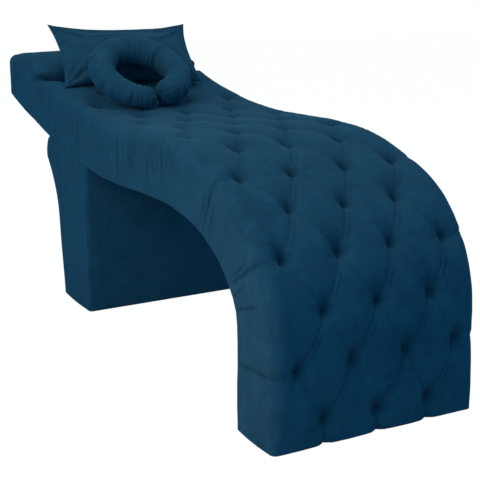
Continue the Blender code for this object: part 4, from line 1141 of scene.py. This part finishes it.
# %% Pillow
PILLOW_FRONT, PILLOW_BACK = 0.088, 0.0772
PILLOW_PULL, PILLOW_SAG, PILLOW_FULLNESS, PILLOW_SETTLING = 0.018, 0.028, 0.60, 0.30
LEFT_EAR, LEFT_EAR_OUT, RIGHT_EAR = 0.009, 0.006, 0.005
TOP_SAG, TOP_DENT, DENT_PLACE, DENT_WIDTH = 0.005, 0.007, 0.55, 0.32
PILLOW_START, PILLOW_PRESSURE, PILLOW_CAP = 0.94, 3.0, 0.012
PILLOW_LATTICE, PLAIN_LATTICE = (140, 84), (14, 9)
PILLOW_LEAN, PILLOW_SWING = math.radians(47.0), math.radians(-7.0)
PILLOW_ASIDE, PILLOW_BEFORE = -0.030, 0.1434
PILLOW_TURN = Euler((math.pi / 2 - PILLOW_LEAN, 0.0, PILLOW_SWING)).to_matrix()
PILLOW_SPOT = (PILLOW_ASIDE, CREASE_REACH - PILLOW_BEFORE - HALF_LENGTH)


def pillow_panels(columns, rows, share, folded):
    """Front and back panel with their edges in common, at a share of their full thickness."""
    u, v = np.meshgrid(np.linspace(-1, 1, columns + 1), np.linspace(-1, 1, rows + 1))
    leftward, rightward = np.clip(-u, 0, 1), np.clip(u, 0, 1)
    crown = share * np.clip((1 - u**2) * (1 - v**2), 0, None) ** PILLOW_FULLNESS
    x = u * (PILLOW_WIDTH / 2 - PILLOW_PULL * (1 - v**2))
    y = v * (PILLOW_HEIGHT / 2 - PILLOW_SAG * (1 - u**2)) + PILLOW_HEIGHT / 2
    # The left ear stands up a little and the right one hangs, with a dent and a sag between them.
    upper = folded * np.clip((1 + v) / 2, 0, 1) ** 2
    y += upper * (LEFT_EAR * leftward**3 - RIGHT_EAR * rightward**3)
    y -= upper * (TOP_DENT * bell(u - DENT_PLACE, DENT_WIDTH) + TOP_SAG * (1 - u**2))
    x -= upper * LEFT_EAR_OUT * leftward**2
    thick = crown * (1 + folded * (corner_folds(u, v) - seam_puckers(u, v)))
    front = np.stack([x, y, PILLOW_FRONT * thick * (1 - PILLOW_SETTLING * v)], axis=-1)
    return np.array([front, np.stack([x, y, -PILLOW_BACK * crown], axis=-1)])


def sewn_panels(name, panels):
    """One closed piece from two panels of equal lattice."""
    corners = np.arange(panels[0].size // 3).reshape(panels.shape[1:3])
    lattice = [corners[:-1, :-1], corners[:-1, 1:], corners[1:, 1:], corners[1:, :-1]]
    quads = np.stack(lattice, axis=-1).reshape(-1, 4)
    return sewn(name, panels, quads.tolist() + (quads[:, ::-1] + corners.size).tolist())


def set_down(piece, turn, spot, lowest, plain):
    """Turn a piece and put it where the CAD solid, whose own points are plain, has its lowest point."""
    own_lowest = (plain.reshape(-1, 3) @ np.array(turn).T)[:, 2].min()
    piece.data.transform(Matrix.Translation((*spot, lowest - own_lowest)) @ turn.to_4x4())
    piece.data.update()


velvet_pillow = sewn_panels("velvet_pillow", pillow_panels(*PILLOW_LATTICE, PILLOW_START, 1.0))
seam = [vertex.index for vertex in velvet_pillow.data.vertices if abs(vertex.co.z) < TINY]
swelled = inflate(velvet_pillow, PILLOW_PRESSURE, PILLOW_CAP, seam)
print("pillow swelled by", round(swelled, 4))
plain_panels = pillow_panels(*PLAIN_LATTICE, 1.0, 0.0)
set_down(velvet_pillow, PILLOW_TURN, PILLOW_SPOT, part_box("pillow")[0].z, plain_panels)
print("pillow", [round(value, 3) for value in velvet_pillow.dimensions])

# %% [markdown]
# ## The neck cushion
# A tube of velvet is bent into a horseshoe, so the cloth on the inside of the bend has too little room
# and gathers in short pleats across the tube. More gathers lie along the seam on the outside. They are
# put in by rule, at places drawn from a fixed seed, because blowing the tube up would smooth them out.

# %% Neck cushion
NECK_TUBE, NECK_BEND, NECK_MOUTH = 0.0445, 0.1240, 0.008
NECK_SLACK, NECK_LONGER, NECK_EASE = 0.0070, 0.13, 0.015
NECK_TILT, NECK_SWING, NECK_CAP = math.radians(29.0), math.radians(3.0), math.radians(87.0)
NECK_ASIDE, NECK_BEFORE = -0.074, 0.2921
NECK_TURN = Euler((NECK_TILT, 0.0, NECK_SWING)).to_matrix()
NECK_SPOT = (NECK_ASIDE, CREASE_REACH - NECK_BEFORE - HALF_LENGTH)
NECK_LATTICE, PLAIN_NECK_LATTICE, CAP_STEPS = (440, 80), (21, 12), 16
SLACK_ARM, SLACK_POWER = (0.9 * math.pi, 1.4 * math.pi), 0.8
# Number of gathers, their middle round the tube with its scatter, then ranges of spread, width and depth:
# first those on the inside of the bend, then those along the outer seam.
GATHERS = (
    (60, (math.pi, 0.5), (0.5, 1.1), (0.0020, 0.0044), (0.0012, 0.0040)),
    (110, (0.10, 0.28), (0.25, 0.6), (0.0018, 0.0030), (0.0014, 0.0034)),
)
NECK_SEED, GATHER_STRETCH, GATHER_SLANT, GATHER_FADE = 11, 0.39, 0.003, 0.8
FULL_GATHER, GATHER_FOLD = 0.010, 0.45
END_PUCKERS, END_PUCKER_DEPTH, END_PUCKER_TILT, END_PUCKER_POWER = 13, 0.0009, 0.7, 1.5
END_SWAY, END_SWAYS = 2.0, 3


def neck_gathers(walk, turn):
    """Depth of the gathers: short dents across the tube."""
    pick = np.random.default_rng(NECK_SEED)
    depth = np.zeros(np.broadcast(walk, turn).shape)
    for count, middles, spreads, widths, depths in GATHERS:
        for _ in range(count):
            spot = pick.uniform(-GATHER_STRETCH, GATHER_STRETCH)
            around = np.angle(np.exp(1j * (turn - pick.normal(*middles))))
            spread, wide = pick.uniform(*spreads), pick.uniform(*widths)
            deep, slant = pick.uniform(*depths), pick.normal(0, GATHER_SLANT)
            depth += deep * bell(walk - spot - slant * around, wide) * bell(around, spread)
    return depth


def neck_rings(steps, around, gathered):
    """Rings of the horseshoe tube from one rounded end to the other, and how far each lies in a gather."""
    mouth = math.asin((NECK_TUBE + NECK_MOUTH / 2) / NECK_BEND)
    bend = np.linspace(mouth - np.pi / 2, 3 * np.pi / 2 - mouth + gathered * NECK_LONGER, steps)
    cap = np.linspace(0, NECK_CAP, CAP_STEPS)[1:]
    angles = np.concatenate([np.full(len(cap), bend[0]), bend, np.full(len(cap), bend[-1])])[:, None]
    tilts = np.concatenate([-cap[::-1], np.zeros(steps), cap])[:, None]
    turn = np.linspace(0, 2 * np.pi, around, endpoint=False)[None, :]
    walk = (angles - np.pi / 2) * NECK_BEND + NECK_TUBE * tilts
    # The left arm is filled less than the rest, and lies against the outer and lower side of its place.
    slack = gathered * NECK_SLACK * share_of(angles, *SLACK_ARM) ** SLACK_POWER
    tube = NECK_TUBE * (1 - NECK_EASE * gathered) - slack
    # The cloth is drawn together over each end of the tube in small radial puckers.
    puckers = END_PUCKER_DEPTH * (1 + np.sin(END_PUCKERS * turn + END_SWAY * np.sin(END_SWAYS * turn)))
    puckers = puckers * share_of(np.abs(tilts), 0.0, END_PUCKER_TILT) ** END_PUCKER_POWER
    gathers = neck_gathers(walk, turn) * np.cos(GATHER_FADE * tilts) + puckers
    push = (tube - gathered * puckers) * np.sin(tilts)
    size = (tube - gathered * gathers) * np.cos(tilts)
    out = NECK_BEND + slack + size * np.cos(turn)
    x = np.cos(angles) * out - np.sin(angles) * push
    y = np.sin(angles) * out + np.cos(angles) * push
    rings = np.stack([x, y, size * np.sin(turn) - slack], axis=-1)
    # Gathers are painted darker, as painted shade, by the second value.
    return rings, np.clip(gathers / FULL_GATHER, 0, GATHER_FOLD)


gathered_rings, gathered_fold = neck_rings(*NECK_LATTICE, 1.0)
plain_rings, _ = neck_rings(*PLAIN_NECK_LATTICE, 0.0)
velvet_neck_cushion = loft("velvet_neck_cushion", gathered_rings, fold=gathered_fold)
set_down(velvet_neck_cushion, NECK_TURN, NECK_SPOT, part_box("neck_cushion")[0].z, plain_rings)
print("neck cushion", [round(value, 3) for value in velvet_neck_cushion.dimensions])

# %% [markdown]
# ## Riding on the frame
# Each piece is tied to the CAD body that it moves with, and the CAD solids that it stands for are
# hidden. Each is listed with how full it is, as it is stuffed. The bed has one body; the pillow and the
# neck cushion lift off by themselves.

# %% Bodies and fillings
for piece, body, fill, replaced in (
    (
        velvet_deck,
        "bed",
        0.9,
        ("tufted_pad", "head_pad", "left_side_cover", "right_side_cover", "head_end_cover"),
    ),
    (pedestal, "bed", 0.9, ("base_front_cover", "base_rear_cover", "left_base_cover", "right_base_cover")),
    (arch_velvet, "bed", 0.9, ("arch_lining",)),
    (head_velvet, "bed", 0.9, ("head_lining",)),
    (velvet_pillow, "pillow", 0.7, ("pillow",)),
    (velvet_neck_cushion, "neck_cushion", 0.85, ("neck_cushion",)),
):
    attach(piece, body)
    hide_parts(*replaced)
    print(piece.name, "rides on", body, "for", len(replaced), "solids")
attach(deck_buttons, "bed")

# %% [markdown]
# ## Floor, light and camera
# The bed stands on a white floor in a white room. Three soft warm lamps light it: a large one high on the
# left, a larger one overhead and a small one low beside the leg, all hidden from the camera. The room's
# own light is cool, so faces turned away from the lamps go a deeper blue. One lamp alone would leave
# those faces black, and a white room alone would leave the pleats without shade.
# The camera's place and lens were worked out from the straight edges and the buttons in the picture.

# %% White floor
FLOOR_HALF, FLOOR_GLOW, FLOOR_SHARE = 9, 1.095, 0.9


def seen_white(tree):
    """1 for rays from the camera, mirrors and glass, which see plain white, and 0 for light on the bed."""
    path = add(tree, "ShaderNodeLightPath").outputs
    mirrored = {0: path["Is Glossy Ray"], 1: path["Is Transmission Ray"]}
    either = add(tree, "ShaderNodeMath", mirrored, operation="MAXIMUM")
    return add(tree, "ShaderNodeMath", {0: path["Is Camera Ray"], 1: either}, operation="MAXIMUM")


def make_floor():
    """A pale studio floor: bright to the camera, with only a breath of shadow."""
    material, tree = new_material("white_studio_floor")
    matt = add(tree, "ShaderNodeBsdfDiffuse", {"Color": linear("#b9cfd8")})
    glow = add(tree, "ShaderNodeEmission", {"Color": linear("#ffffff"), "Strength": FLOOR_GLOW})
    share = add(tree, "ShaderNodeMath", {0: seen_white(tree), 1: FLOOR_SHARE}, operation="MULTIPLY")
    both = add(tree, "ShaderNodeMixShader", {"Fac": share, 1: matt, 2: glow})
    add(tree, "ShaderNodeOutputMaterial", {"Surface": both})
    return material


corners = [(x * FLOOR_HALF, y * FLOOR_HALF, 0) for x, y in ((-1, -1), (1, -1), (1, 1), (-1, 1))]
floor_mesh = bpy.data.meshes.new("floor")
floor_mesh.from_pydata(corners, [], [(0, 1, 2, 3)])
floor_mesh.materials.append(make_floor())
floor = placed("floor", floor_mesh)
print("floor", 2 * FLOOR_HALF, "m square")

# %% White room
ROOM_LIGHT, ROOM_TINT = 0.55, (0.06, 0.73, 1.0, 1.0)
world = bpy.data.worlds.new("white_room")
bpy.context.scene.world = world
world.use_nodes = True
room = world.node_tree
room.nodes.clear()
seen = seen_white(room)
strength = add(room, "ShaderNodeMapRange", {"Value": seen, "To Min": ROOM_LIGHT, "To Max": 1.0})
tint = add(
    room, "ShaderNodeMix", {"Factor": seen, "A": ROOM_TINT, "B": linear("#ffffff")}, data_type="RGBA"
)
sky = add(room, "ShaderNodeBackground", {"Color": tint, "Strength": strength})
add(room, "ShaderNodeOutputWorld", {"Surface": sky})
print("room light", ROOM_LIGHT)

# %% Lamps
# Name, place, target, size in metres, power in watts and colour.
LAMPS = (
    ("side_lamp", (-1.8, -0.95, 1.8), (0.0, -0.3, 0.5), 1.2, 18.5, (1.0, 0.87, 0.63)),
    ("low_reflector", (-0.78, -0.86, 0.24), (-0.3, -0.82, 0.26), 0.4, 0.95, (1.0, 0.48, 0.26)),
    ("ceiling_lamp", (0.2, -0.4, 3.5), (0.0, -0.3, 0.5), 2.4, 36.0, (1.0, 0.47, 0.20)),
)
for name, spot, target, size, power, colour in LAMPS:
    light = bpy.data.lights.new(name, "AREA")
    light.size = size
    light.energy = power
    light.color = colour
    lamp = placed(name, light)
    lamp.location = spot
    lamp.rotation_euler = (Vector(target) - Vector(spot)).to_track_quat("-Z", "Y").to_euler()
    lamp.visible_camera = False
print(len(LAMPS), "lamps")

# %% Camera
CAMERA_SPOT, CAMERA_FALL, CAMERA_SWING = (-1.4703, -2.9622, 1.1571), 0.26620, 0.49627
camera = placed("camera", bpy.data.cameras.new("camera"))
camera.data.lens = 82.1
camera.data.sensor_width = 36.0
camera.location = CAMERA_SPOT
camera.rotation_euler = (math.pi / 2 - CAMERA_FALL, 0.0, -CAMERA_SWING)
bpy.context.scene.camera = camera
bpy.context.scene.view_settings.view_transform = "Standard"
print("camera at", CAMERA_SPOT)
